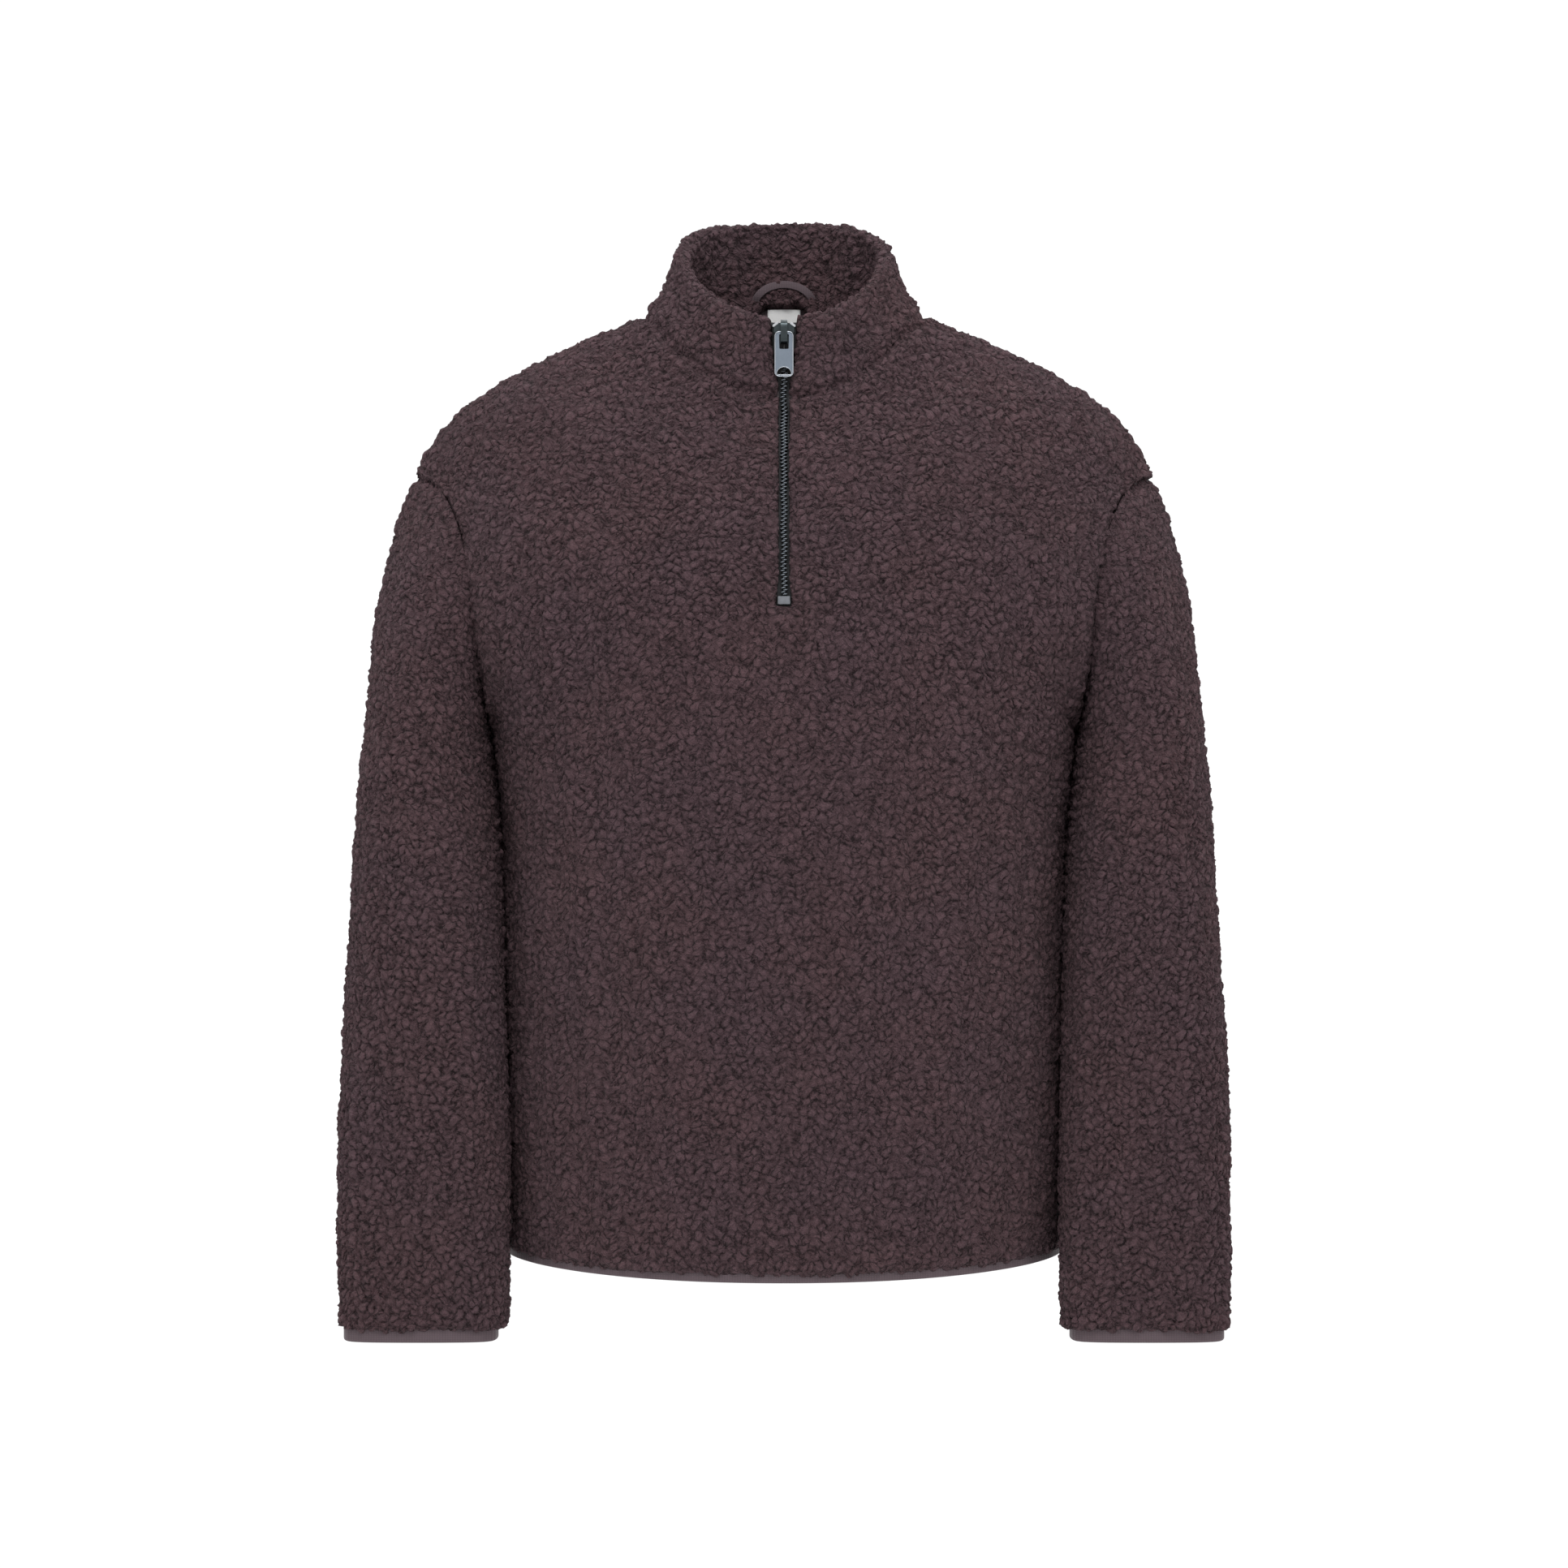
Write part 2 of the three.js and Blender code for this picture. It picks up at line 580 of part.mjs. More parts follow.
// Slider, with its frame's origin on the pile's surface at the pull tab's pivot: a front and a back plate
// on a wedge between the tapes, and a crown that holds the pull tab's lip.
function slider() {
  const top = PIVOT_DROP;
  const foot = PIVOT_DROP - SLIDER.long;
  const slim = SLIDER.footWide / 2;
  const plate = new THREE.Shape();
  plate.moveTo(-slim + 1, foot);
  plate.lineTo(slim - 1, foot);
  plate.lineTo(slim, foot + 1);
  plate.quadraticCurveTo(slim, 0, SHOULDER.far, top - SHOULDER.low - 3);
  plate.lineTo(SHOULDER.far, top - SHOULDER.low);
  plate.lineTo(SHOULDER.near, top - SHOULDER.high);
  plate.quadraticCurveTo(0, top, -SHOULDER.near, top - SHOULDER.high);
  plate.lineTo(-SHOULDER.far, top - SHOULDER.low);
  plate.lineTo(-SHOULDER.far, top - SHOULDER.low - 3);
  plate.quadraticCurveTo(-slim, 0, -slim, foot + 1);
  plate.closePath();
  const post = roundedShape(-POST_WIDE / 2, top - 7, POST_WIDE / 2, top - 1.8, 0.9);
  const crown = new THREE.Shape();
  const head = top - 1;
  const tail = head - CROWN.long;
  const high = SLIDER.front + SLIDER.plate + CROWN.tall + CROWN.roof;
  const low = SLIDER.front + SLIDER.plate - CROWN.sunk;
  crown.moveTo(head, low);
  crown.lineTo(head, low + 1.6);
  crown.quadraticCurveTo(head - 1.5, high, head - 5, high);
  crown.lineTo(tail + 3.2, high);
  crown.quadraticCurveTo(tail, high, tail, low + 1.2);
  crown.lineTo(tail, low);
  crown.closePath();
  const hollow = roundedShape(
    tail + CROWN.foot, low + CROWN.floor, head - CROWN.foot, high - CROWN.roof, 0.8,
  );
  crown.holes.push(hollow);
  const arch = new THREE.ExtrudeGeometry(crown, { depth: CROWN.wide, bevelEnabled: false, curveSegments: 5 });
  const across = new THREE.Matrix4().makeBasis(
    new Vector3(0, 1, 0), new Vector3(0, 0, 1), new Vector3(1, 0, 0),
  );
  arch.applyMatrix4(across).translate(-CROWN.wide / 2, 0, 0);
  return joined(
    extruded(plate, SLIDER.plate, SLIDER.front),
    extruded(plate, SLIDER.plate, SLIDER.back),
    extruded(post, SLIDER.front - SLIDER.back, SLIDER.back + SLIDER.plate / 2),
    arch,
  );
}

// Pull tab, with its frame's origin in the middle of the lip that turns under the crown.
function pullTab() {
  const half = TAB.wide / 2;
  const plate = roundedShape(-half, -TAB.long, half, TAB.lip / 2, TAB.corner);
  const slotHalf = TAB_SLOT.wide / 2;
  plate.holes.push(roundedShape(-slotHalf, -TAB_SLOT.long, slotHalf, -TAB.lip / 2, 0.8));
  const eye = new THREE.Path();
  eye.absarc(0, -TAB_EYE.centre, TAB_EYE.radius, 0, Math.PI);
  eye.closePath();
  plate.holes.push(eye);
  return extruded(plate, TAB.thick, -TAB.thick / 2, 0.3);
}

// The pull tab's pivot, out from the pile's surface: in the middle of the crown's hollow.
const PIVOT_OUT = SLIDER.front + SLIDER.plate + (CROWN.tall + CROWN.floor - CROWN.sunk) / 2;

// A clamp of metal round the tapes' ends, as a block with cut corners that stands in the zip's gap.
function clamp({ wide, tall, thick }) {
  const shape = roundedShape(-wide / 2, 0, wide / 2, tall, 0.7);
  return extruded(shape, thick, -TAPE_DEPTH + SEAM, 0.3);
}

// A top stop lies along the slider's shoulder, its foot at the outer end.
function topStopFrame(side) {
  const slope = Math.atan2(SHOULDER.low - SHOULDER.high, SHOULDER.far - SHOULDER.near);
  const off = TOP_STOP.clear + TOP_STOP.wide / 2;
  const turned = new THREE.Matrix4().makeRotationZ(side * (QUARTER - slope));
  const foot = new THREE.Matrix4().makeTranslation(
    side * (SHOULDER.far + off * Math.sin(slope)), off * Math.cos(slope) - SHOULDER.low, 0,
  );
  return zipFrame(SLIDER_TOP).multiply(foot).multiply(turned);
}

// Label: sewn into the collar seam at the centre back, hanging inside the back.
function neckLabel() {
  const rows = 5;
  const lift = 0.06; // rows below the seam at which it starts
  const climb = centreAt(NECK_ROW).zBack - centreAt(NECK_ROW - 1).zBack;
  const rowsOf = range(0, rows).map((k) => NECK_ROW - lift - ((LABEL_TALL / climb) * (rows - k)) / rows);
  const across = range(-3, 3).map((k) => (k / 3) * (LABEL_WIDE / 2));
  const near = FLEECE + LAYER_GAP;
  const layers = [near, near + LABEL].map((depth) =>
    rowsOf.map((row) =>
      across.map((x) => {
        const turn = Math.asin(Math.abs(x) / edgePoint(row, 1).x) / QUARTER;
        return bodyPoint(row, 1, x < 0 ? -1 : 1, turn, depth);
      }),
    ),
  );
  return wall(...layers);
}

// Hanging loop: an arch of folded jersey that stands against the inside of the collar's back.
function hangingLoop() {
  const climb = centreAt(NECK_ROW + 1).zBack - centreAt(NECK_ROW).zBack;
  const onFacing = (x, rise, depth) => {
    const row = NECK_ROW + 0.12 + rise / climb;
    const reach = edgePoint(row, 1).x;
    const turn = Math.asin(Math.abs(x) / reach) / QUARTER;
    return bodyPoint(row, 1, x < 0 ? -1 : 1, turn, depth);
  };
  const arch = (shrink, depth) =>
    range(0, LOOP_STEPS).map((k) => {
      const angle = (Math.PI * k) / LOOP_STEPS;
      const x = -(LOOP_SPAN - shrink) * Math.cos(angle);
      return onFacing(x, (LOOP_TALL - shrink) * Math.sin(angle), depth);
    });
  const near = FACING_DEPTH + FLEECE + LAYER_GAP;
  const layers = [near, near + LOOP].map((depth) => [0, LOOP_WIDE].map((shrink) => arch(shrink, depth)));
  return wall(...layers);
}

const FLEECE_BROWN = new THREE.MeshStandardMaterial({ color: 0x43363a, roughness: 0.95, metalness: 0 });
const JERSEY_BROWN = new THREE.MeshStandardMaterial({ color: 0x5a4a50, roughness: 0.85, metalness: 0 });
const TAPE_BLACK = new THREE.MeshStandardMaterial({ color: 0x1b1c1e, roughness: 0.8, metalness: 0 });
const GUNMETAL = new THREE.MeshStandardMaterial({ color: 0x4a4e55, roughness: 0.35, metalness: 1 });
const BRIGHT_METAL = new THREE.MeshStandardMaterial({ color: 0xb4b6bb, roughness: 0.35, metalness: 1 });
const LABEL_WHITE = new THREE.MeshStandardMaterial({ color: 0xd9d9d6, roughness: 0.7, metalness: 0 });

const pullover = new THREE.Group();

function add(name, geometry, material, frame) {
  const piece = new THREE.Mesh(geometry, material);
  piece.name = name;
  if (frame) frame.decompose(piece.position, piece.quaternion, piece.scale);
  pullover.add(piece);
}

add("front", panel(-1), FLEECE_BROWN);
add("back", panel(1), FLEECE_BROWN);
add("collar_outer", collar(0), FLEECE_BROWN);
add("collar_facing", collar(FACING_DEPTH), FLEECE_BROWN);
add("hem_binding", binding(hemEdge, HEM_BINDING_TALL), JERSEY_BROWN);
for (const [name, side] of [["left", 1], ["right", -1]]) {
  add(`sleeve_${name}`, sleeve(side), FLEECE_BROWN);
  add(`cuff_binding_${name}`, binding(cuffEdge(side), CUFF_BINDING_TALL), JERSEY_BROWN);
  add(`zip_tape_${name}`, zipTape(side), TAPE_BLACK);
  add(`zip_top_stop_${name}`, clamp(TOP_STOP), BRIGHT_METAL, topStopFrame(side));
}
add("zip_chain", zipChain(), GUNMETAL);
add("zip_bottom_stop", clamp(BOTTOM_STOP), BRIGHT_METAL, zipFrame(STOP_TOP - BOTTOM_STOP.tall));
const pivotFrame = zipFrame(SLIDER_TOP - PIVOT_DROP);
add("zip_slider", slider(), GUNMETAL, pivotFrame);
const tabFrame = pivotFrame.clone().multiply(new THREE.Matrix4().makeTranslation(0, 0, PIVOT_OUT));
tabFrame.multiply(new THREE.Matrix4().makeRotationX(-TAB_LEAN));
add("zip_pull_tab", pullTab(), GUNMETAL, tabFrame);
add("hanging_loop", hangingLoop(), JERSEY_BROWN);
add("neck_label", neckLabel(), LABEL_WHITE);

export default pullover;
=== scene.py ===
"""Looks of a sherpa fleece pullover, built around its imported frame.

Surfaces are worked out in millimetres and put into their meshes in metres. +X is the wearer's left,
-Y the front and +Z up. The origin is the middle of the neck, level with the shoulder seams' inner ends.
"""
import itertools
import json
import math

import bpy
import numpy as np
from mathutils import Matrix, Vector


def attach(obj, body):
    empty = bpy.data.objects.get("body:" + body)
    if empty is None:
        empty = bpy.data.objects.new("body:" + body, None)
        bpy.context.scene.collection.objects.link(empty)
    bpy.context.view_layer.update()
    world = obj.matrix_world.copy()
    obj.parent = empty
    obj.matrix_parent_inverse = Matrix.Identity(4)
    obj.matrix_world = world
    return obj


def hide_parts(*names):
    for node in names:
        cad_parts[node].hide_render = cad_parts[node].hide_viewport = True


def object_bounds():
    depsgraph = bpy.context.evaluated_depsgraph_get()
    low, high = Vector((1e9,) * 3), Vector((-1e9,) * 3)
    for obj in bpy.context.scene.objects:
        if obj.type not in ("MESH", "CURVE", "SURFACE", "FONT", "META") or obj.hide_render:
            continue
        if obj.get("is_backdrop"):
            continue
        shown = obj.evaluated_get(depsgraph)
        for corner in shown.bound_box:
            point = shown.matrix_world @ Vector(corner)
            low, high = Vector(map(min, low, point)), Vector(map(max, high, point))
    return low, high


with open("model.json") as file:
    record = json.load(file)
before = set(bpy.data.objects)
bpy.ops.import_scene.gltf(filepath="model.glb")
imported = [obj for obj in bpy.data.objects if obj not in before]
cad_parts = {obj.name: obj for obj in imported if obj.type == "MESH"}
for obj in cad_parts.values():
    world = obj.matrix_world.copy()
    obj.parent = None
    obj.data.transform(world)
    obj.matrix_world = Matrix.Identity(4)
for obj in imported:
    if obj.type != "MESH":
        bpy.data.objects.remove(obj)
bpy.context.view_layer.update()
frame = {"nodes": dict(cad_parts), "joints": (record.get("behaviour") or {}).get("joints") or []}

bl_info = {
    "name": "Sherpa fleece pullover",
    "version": (1, 0, 0),
    "blender": (4, 5, 0),
    "location": "View3D > Sidebar > Pullover",
    "description": "Makes the pile, bindings, zip and finishes of a sherpa fleece pullover",
    "category": "Object",
}

METRES = 0.001  # millimetres to metres
QUARTER = math.pi / 2
WRAP = 0xFFFFFFFF  # numbers of 32 bits

# Pile, in millimetres
TUFT_ROUND = 0.42  # how far from its border a tuft has risen, as a share of its size
TUFT_LEVEL = 0.7  # share of a tuft's height at which the pile's measured surface lies
SLEEVE_FINER, COLLAR_FINER = 0.8, 0.72  # spacing of their points, as shares of the panels' spacing
EVERY = 4  # the wall's inside has a point under every fourth one of the pile
ROW_STEPS = 40  # steps for each row, by which lengths are measured
SLEEVE_ROUND, COLLAR_HALF = 480, 250  # lengths over which their columns are spaced
COLLAR_CELLS, RIM_CELLS = 34, 12  # up each side of the collar and over its rim, in all a multiple of EVERY
COLLAR_START = 0.12  # rows below the seam
SWELL_LONG = 78  # length of the gentle swells
EDGE_ROUND, SLIT_ROUND, FACING_ROUND = 3.2, 2.6, 3.6  # radii of the free edges
SEAM_LAP, LAP_WIDE = 1.1, 2.2  # pieces reach past their seams in the creases, so that no gap shows
SIDE_BLEND = 14  # way from a side or armhole in which normals turn to the seam's own
# Widths and depths of the furrows that the seams draw in the pile
SIDE_SEAM_WIDE, SLEEVE_SEAM_WIDE, COLLAR_SEAM_WIDE = 4.5, 5, 4.5
SLEEVE_SEAM_DEEP, SLEEVE_HEAD_DEEP, COLLAR_SEAM_DEEP = 2.0, 2.2, 3.4  # the head's is added at its top
SEAM_FULL, SEAM_FULL_OFF, SEAM_FULL_WIDE = 1.3, 10, 5  # swellings on both sides of the collar seam
HEM_OVER, HEM_OVER_WIDE = 1.8, 5  # how far the pile hangs over the hem binding
SLEEVE_NEARER, NEARER_FROM, NEARER_OVER = 3.6, 4, 16  # the sleeve's pile fills the gap to the body
SLIT_OPENS, SLIT_FADE = 0.3, 0.25  # rows below the slit over which its cell widens and its edges round
RIM_RISE, RIM_RISE_WIDE = 3.4, 30  # how far the collar's rim stands up beside the zip
# The collar's inside ends higher over the label, and hangs lower beside it
FACING_RAISED, FACING_LONGER, FACING_WIDE, LABEL_CLEAR, LABEL_FADE = 2.7, 10.0, 6, 1, 5

# Cloth and seams, in millimetres
FLEECE = 5.0
TAPE = 0.8
BINDING = 2.8
LABEL = 0.8
SEAM = 0.3
LAYER_GAP = 0.45
TAPE_DEPTH = FLEECE + LAYER_GAP
FACING_DEPTH = TAPE_DEPTH + TAPE + LAYER_GAP
COLLAR_THICK = FACING_DEPTH + FLEECE

# Rows of the body, counted up from the hem
UNDERARM_ROW, ZIP_END_ROW, SHOULDER_ROW, NECK_ROW, TOP_ROW = 9, 13, 21, 28, 32


def table(columns, rows):
    """A table as one array a column."""
    return dict(zip(columns.split(), np.array(rows, float).T))


# Centre lines of front and back: height and depth of each, the section's squareness and its tilt
CENTRE = table("row zFront front zBack back square tilt", [
    [0, -663.5, 128, -662, 117, 1.15, 0],
    [3, -552, 134, -552, 121, 1.2, 0],
    [6, -428, 138, -424, 123, 1.25, 0],
    [9, -300, 141, -290, 122, 1.25, 0],
    [13, -203, 138, -215, 120, 1.2, 0],
    [17, -164, 131, -150, 116, 1.15, 0],
    [21, -126, 117, -92, 107, 1.1, 0],
    [24, -97, 101, -45, 93, 1.05, 0],
    [28, -58, 72, 13, 64, 1, 0],
    [30, -31, 68, 43, 67, 1, 0.5],
    [32, -4.5, 66, 73, 69, 1, 1],
])
SIDE_SEAM = table("row z width", [
    [0, -657, 204], [3, -545, 201.5], [6, -425, 201.5], [8, -332, 203], [9, -290, 207],
])
SHOULDER_SEAM = table("row z width", [
    [21, -111, 263.5], [22, -92, 253.5], [23, -72, 238], [24, -54, 215], [25, -38, 188],
    [26, -24, 160], [27, -10.5, 131], [28, 3.5, 98.5], [29, 16, 89], [30, 28, 83],
    [31, 40, 79], [32, 50.5, 75],
])
SECTION_END = table("row share", [
    [0, 1], [9, 1], [11, 0.88], [13, 0.75], [15, 0.68], [18, 0.68], [21, 0.79], [22, 0.89],
    [24, 1], [32, 1],
])
ZIP_GAP = table("row half", [[13, 5.2], [14, 4.5], [15, 3.7], [28.5, 3.7], [30, 7.6], [32, 9.2]])
TAPE_PART = table("row half", [[12, 0.3], [29.6, 0.3], [29.9, 0.05], [30.7, 0.05], [31.2, 1.9], [32, 2.4]])
# Slanted rings of the left sleeve, from the armhole to the cuff
SLEEVE = table("row outX outZ inX inZ y depth bow square", [
    [0, 263.5, -111, 207, -290, 0, 78, 34, 0],
    [1, 275.5, -143, 208, -302, -2, 80, 24, 0.04],
    [3, 286, -192, 206.5, -323, -9, 80, 12, 0.08],
    [5, 293, -248, 204, -350, -19, 78, 4, 0.1],
    [7.5, 299.3, -325, 201, -397, -33, 72, 0, 0.12],
    [10, 304.3, -415, 199, -462, -46, 63, 0, 0.15],
    [12, 309.5, -508, 197.5, -535, -55, 51, 0, 0.2],
    [14, 313, -600, 196.5, -612, -63, 39, 0, 0.25],
    [15.5, 313.2, -668, 197, -671, -68, 30, 0, 0.3],
    [17, 312, -709, 197, -709, -71, 25, 0, 0.34],
])
CUFF_ROW = 17
BACK_BOW = 0.55
SOFT_REACH, SOFT_ROWS, SOFT_WEIGHTS = 6, 3, np.array([1, 4, 6, 4, 1]) / 16
# Soft troughs in the panels, from one point to another
FOLDS = [
    dict(half=-1, start=(21.6, 0.9), stop=(16.4, 0.955), spread=13, deep=3.2),
    dict(half=1, start=(21.6, 0.89), stop=(17, 0.95), spread=14, deep=2.8),
    dict(half=-1, start=(9.4, 0.93), stop=(5.2, 0.72), spread=16, deep=2.2),
    dict(half=1, start=(9.4, 0.92), stop=(4.6, 0.66), spread=18, deep=2.8),
    dict(half=1, start=(15.5, 0.86), stop=(12.2, 0.55), spread=20, deep=2.4),
]
# Narrower creases of the pile beside the armholes, in the same form
CREASES = [
    dict(half=-1, start=(21.3, 0.84), stop=(14.2, 0.96), spread=4.2, deep=4.0),
    dict(half=1, start=(21.3, 0.86), stop=(16, 0.94), spread=5, deep=2.4),
]
# How deep the seam at the panels' sides is, at these rows
SEAM_ROWS, SEAM_DEPTHS = [8, 10, 20, 22.5, 28], [0.9, 2.0, 2.6, 1.1, 1.1]
# Where the panels' pile stands higher: by bells over the rows and over the way from the side
PUFFS = [
    dict(row=SHOULDER_ROW, rows=1.7, off=8, wide=6, high=2.2),  # over the sleeve, at the shoulder's end
    dict(row=7, rows=2, off=0, wide=35, high=1.6),  # towards the sleeve, under the arm
    dict(row=11.5, rows=2.6, off=12, wide=10, high=3.2),  # beside the crease above the underarm
]
# How much fuller the panels are where they turn to the sides, as shares of SIDE_FULL at these rows
SIDE_ROWS, SIDE_SHARES = [0.3, 2.5, 10, 13], [0, 1, 1, 0]
SIDE_FULL, SIDE_FULL_OFF, SIDE_FULL_WIDE = 4.0, 60, 32
BINDING_INSET = 3.4  # how far a binding lies in from the pile's surface
BINDING_HELD = 3.0  # how far a binding reaches up inside the pile's wall
BINDING_CORNER, PUCKER_HIGH, PUCKER_LONG = 1.25, 0.16, 3.4
CUFF_BINDING_TALL, HEM_BINDING_TALL = 7.6, 6.4
TAPE_WIDE, TAPE_TAIL, TAPE_SHORT = 14, 0.7, 0.15  # rows below the slit and below the rim
CHAIN_FRONT, CHAIN_BACK = 0.9, FLEECE
LABEL_WIDE, LABEL_TALL, LABEL_START = 24.5, 34, 0.16  # it starts so many rows above the seam
LOOP_SPAN, LOOP_TALL, LOOP_WIDE, LOOP = 25.4, 14.6, 5.4, 1.2
LOOP_START, LOOP_CORNER = 0.12, 0.55  # the first is in rows above the seam
LOOP_SUNK, LOOP_SUNK_WIDE = 3, 0.35  # its ends sink in the pile, by a bell of its angle's sine
SLIDER_TOP, SLIDER_LONG, PIVOT_DROP = -4, 17.5, 10.2
STOP_START, STOP_TALL = 1, 5.6  # the bottom stop, over the slit's end
TAB_WIDE, TAB_LONG, TAB_THICK, TAB_CORNER, TAB_LIP, TAB_LEAN = 13.2, 31, 1.6, 3.2, 2.2, 0.06
EYE_RADIUS, EYE_CENTRE, EYE_RIM_SHARE = 5, 29.3, 0.8  # its rim is a share of the edge's
CHAIN_CLEAR = 0.2  # between the teeth and the slider's foot
# Teeth: off the middle, swaying a little, set forward from the chain's middle and slanted
TOOTH_OFF, TOOTH_SWAY, SWAY_LONG, TOOTH_FORWARD, TOOTH_SLANT = 0.75, 0.35, 27, 0.3, 0.16
# Stage
FLOOR_BELOW, FLOOR_REACH, FLOOR_BEND, FLOOR_WIDE, BACKDROP_TALL = 1200, 3400, 1200, 6000, 5000
LIGHTS_AIM_HIGHER = 0.1


# Curves and surfaces of the garment

def curve(source, column, at):
    """A monotone cubic through a table's column: its slopes are weighted harmonic means of the chords on
    both sides, 0 where those change sign, so that it never overshoots the rows."""
    x, y = source["row"], source[column]
    at = np.asarray(at, float)
    step = np.diff(x)
    rise = np.diff(y) / step
    slope = np.concatenate([rise[:1], np.zeros(len(x) - 2), rise[-1:]])
    before, after = 2 * step[1:] + step[:-1], step[1:] + 2 * step[:-1]
    same = rise[:-1] * rise[1:] > 0
    safe = np.where(same, rise[:-1], 1), np.where(same, rise[1:], 1)
    slope[1:-1] = np.where(same, (before + after) / (before / safe[0] + after / safe[1]), 0)
    i = np.clip(np.searchsorted(x, at, side="right") - 1, 0, len(step) - 1)
    t = np.clip((at - x[i]) / step[i], 0, 1)
    bend = (3 - 2 * t) * t * t
    tail = t * (1 - t) ** 2 * slope[i] - t * t * (1 - t) * slope[i + 1]
    return y[i] + (y[i + 1] - y[i]) * bend + step[i] * tail


def unit(vectors):
    """Each vector divided by its length."""
    return vectors / np.maximum(np.linalg.norm(vectors, axis=-1, keepdims=True), 1e-9)


def sleeve_point(row, turn):
    """Left sleeve: an oval between its outermost point (turn 0) and the one beside the body (turn pi),
    middle + half size * (cos, sin), flattened by square and bowed towards the chest at the armhole."""
    out_x, out_z, in_x, in_z, y, depth, bow, square = (
        curve(SLEEVE, name, row) for name in ("outX", "outZ", "inX", "inZ", "y", "depth", "bow", "square")
    )
    c, s = np.cos(turn), np.sin(turn)
    along, across = c * (1 + square * s * s), s * (1 + square * c * c)
    bowed = bow * np.where(s > 0, 1, BACK_BOW) * np.abs(s) * (1 + c) / 2
    return np.stack(np.broadcast_arrays(
        (out_x + in_x) / 2 + (out_x - in_x) / 2 * along - bowed,
        y - depth * across,
        (out_z + in_z) / 2 + (out_z - in_z) / 2 * along,
    ), axis=-1)


def armhole_turn(row, half):
    """How far round the armhole a row of the body meets it: pi at the underarm, 0 at the shoulder."""
    return -half * math.pi * (1 - (np.asarray(row, float) - UNDERARM_ROW) / (SHOULDER_ROW - UNDERARM_ROW))


def edge_point(row, half):
    """Where a row of a panel ends: on the side seam, the armhole or the shoulder seam."""
    row = np.asarray(row, float)
    side = np.stack([curve(SIDE_SEAM, "width", row), 0 * row, curve(SIDE_SEAM, "z", row)], -1)
    shoulder = np.stack([curve(SHOULDER_SEAM, "width", row), 0 * row, curve(SHOULDER_SEAM, "z", row)], -1)
    arm = sleeve_point(0, armhole_turn(np.clip(row, UNDERARM_ROW, SHOULDER_ROW), half))
    row = row[..., None]
    return np.where(row <= UNDERARM_ROW, side, np.where(row >= SHOULDER_ROW, shoulder, arm))


def section_end(row):
    return QUARTER * curve(SECTION_END, "share", row)


def table_point(row, half, turn):
    """Left half of a panel or the collar, straight from the tables: across by the sine of the turn, forward
    by one minus its cosine raised to square, and up by a sag that fades from the centre to the side."""
    edge, end = edge_point(row, half), section_end(row)
    square, tilt = curve(CENTRE, "square", row), curve(CENTRE, "tilt", row)
    z_front, z_back = curve(CENTRE, "zFront", row), curve(CENTRE, "zBack", row)
    depth = curve(CENTRE, "front" if half < 0 else "back", row)
    height = z_front if half < 0 else z_back
    around = ((1 - np.cos(turn * end)) / (1 - np.cos(end))) ** square
    face = np.cos(turn * QUARTER)
    slant = tilt * (z_back - z_front) / 2
    sag = height - edge[..., 2] - half * slant
    return np.stack(np.broadcast_arrays(
        edge[..., 0] * np.sin(turn * end) / np.sin(end),
        half * (depth + (np.abs(edge[..., 1]) - depth) * around),
        edge[..., 2] + half * slant * face + sag * face * face,
    ), axis=-1)


def smooth_point(row, half, turn):
    """table_point averaged over nearby rows, by binomial weights, near the corners of the armhole."""
    row, turn = np.broadcast_arrays(np.asarray(row, float), np.asarray(turn, float))
    near = [np.clip(1 - ((row - corner) / SOFT_REACH) ** 2, 0, None) ** 2
            for corner in (UNDERARM_ROW, SHOULDER_ROW)]
    reach = SOFT_ROWS * np.maximum(*near) * (1 - turn ** 6)
    return sum(weight * table_point(row + (i / 2 - 1) * reach, half, turn)
               for i, weight in enumerate(SOFT_WEIGHTS))


def outwards(point, row, turn, high, sign):
    """Unit normal of a surface given as point(row, turn): the cross product of its central differences."""
    h = 0.02
    up = point(np.minimum(row + h, high), turn) - point(np.maximum(row - h, 0), turn)
    around = point(row, turn + h) - point(row, turn - h)
    return unit(np.cross(around, up) * sign)


def body_normal(row, half, turn):
    return outwards(lambda r, t: smooth_point(r, half, t), row, turn, TOP_ROW, -half)


def seam_normal(row):
    """Midway between the normals of front and back, where they meet at the side."""
    return unit(body_normal(row, -1, 1.0) + body_normal(row, 1, 1.0))


def armhole_normal(turn):
    """Midway between the normals of the sleeve and of the panel that it is sewn to."""
    row = UNDERARM_ROW + (SHOULDER_ROW - UNDERARM_ROW) * (1 - np.abs(turn) / math.pi)
    front = (turn > 0)[..., None]
    at_side = ((row < UNDERARM_ROW + 0.01) | (row > SHOULDER_ROW - 0.01))[..., None]
    body = np.where(front, body_normal(row, -1, 1.0), body_normal(row, 1, 1.0))
    body = np.where(at_side, seam_normal(row), body)
    return unit(outwards(sleeve_point, 0 * turn, turn, CUFF_ROW, 1) + body)


def bell(distance, high, wide):
    """A bell of the distance: high times e to the power of minus (distance / wide) squared."""
    return high * np.exp(-((distance / wide) ** 2))


def fold_depth(points, half, folds=FOLDS):
    """Depth of the soft troughs: a half sine wave along each and a bell across it."""
    deep = np.zeros(points.shape[:-1])
    for fold in (f for f in folds if f["half"] == half):
        start = smooth_point(fold["start"][0], half, fold["start"][1])
        line = smooth_point(fold["stop"][0], half, fold["stop"][1]) - start
        along = (points - start) @ line / (line @ line)
        off = np.linalg.norm(points - start - along[..., None] * line, axis=-1)
        deep += np.sin(math.pi * np.clip(along, 0, 1)) * bell(off, fold["deep"], fold["spread"])
    return deep


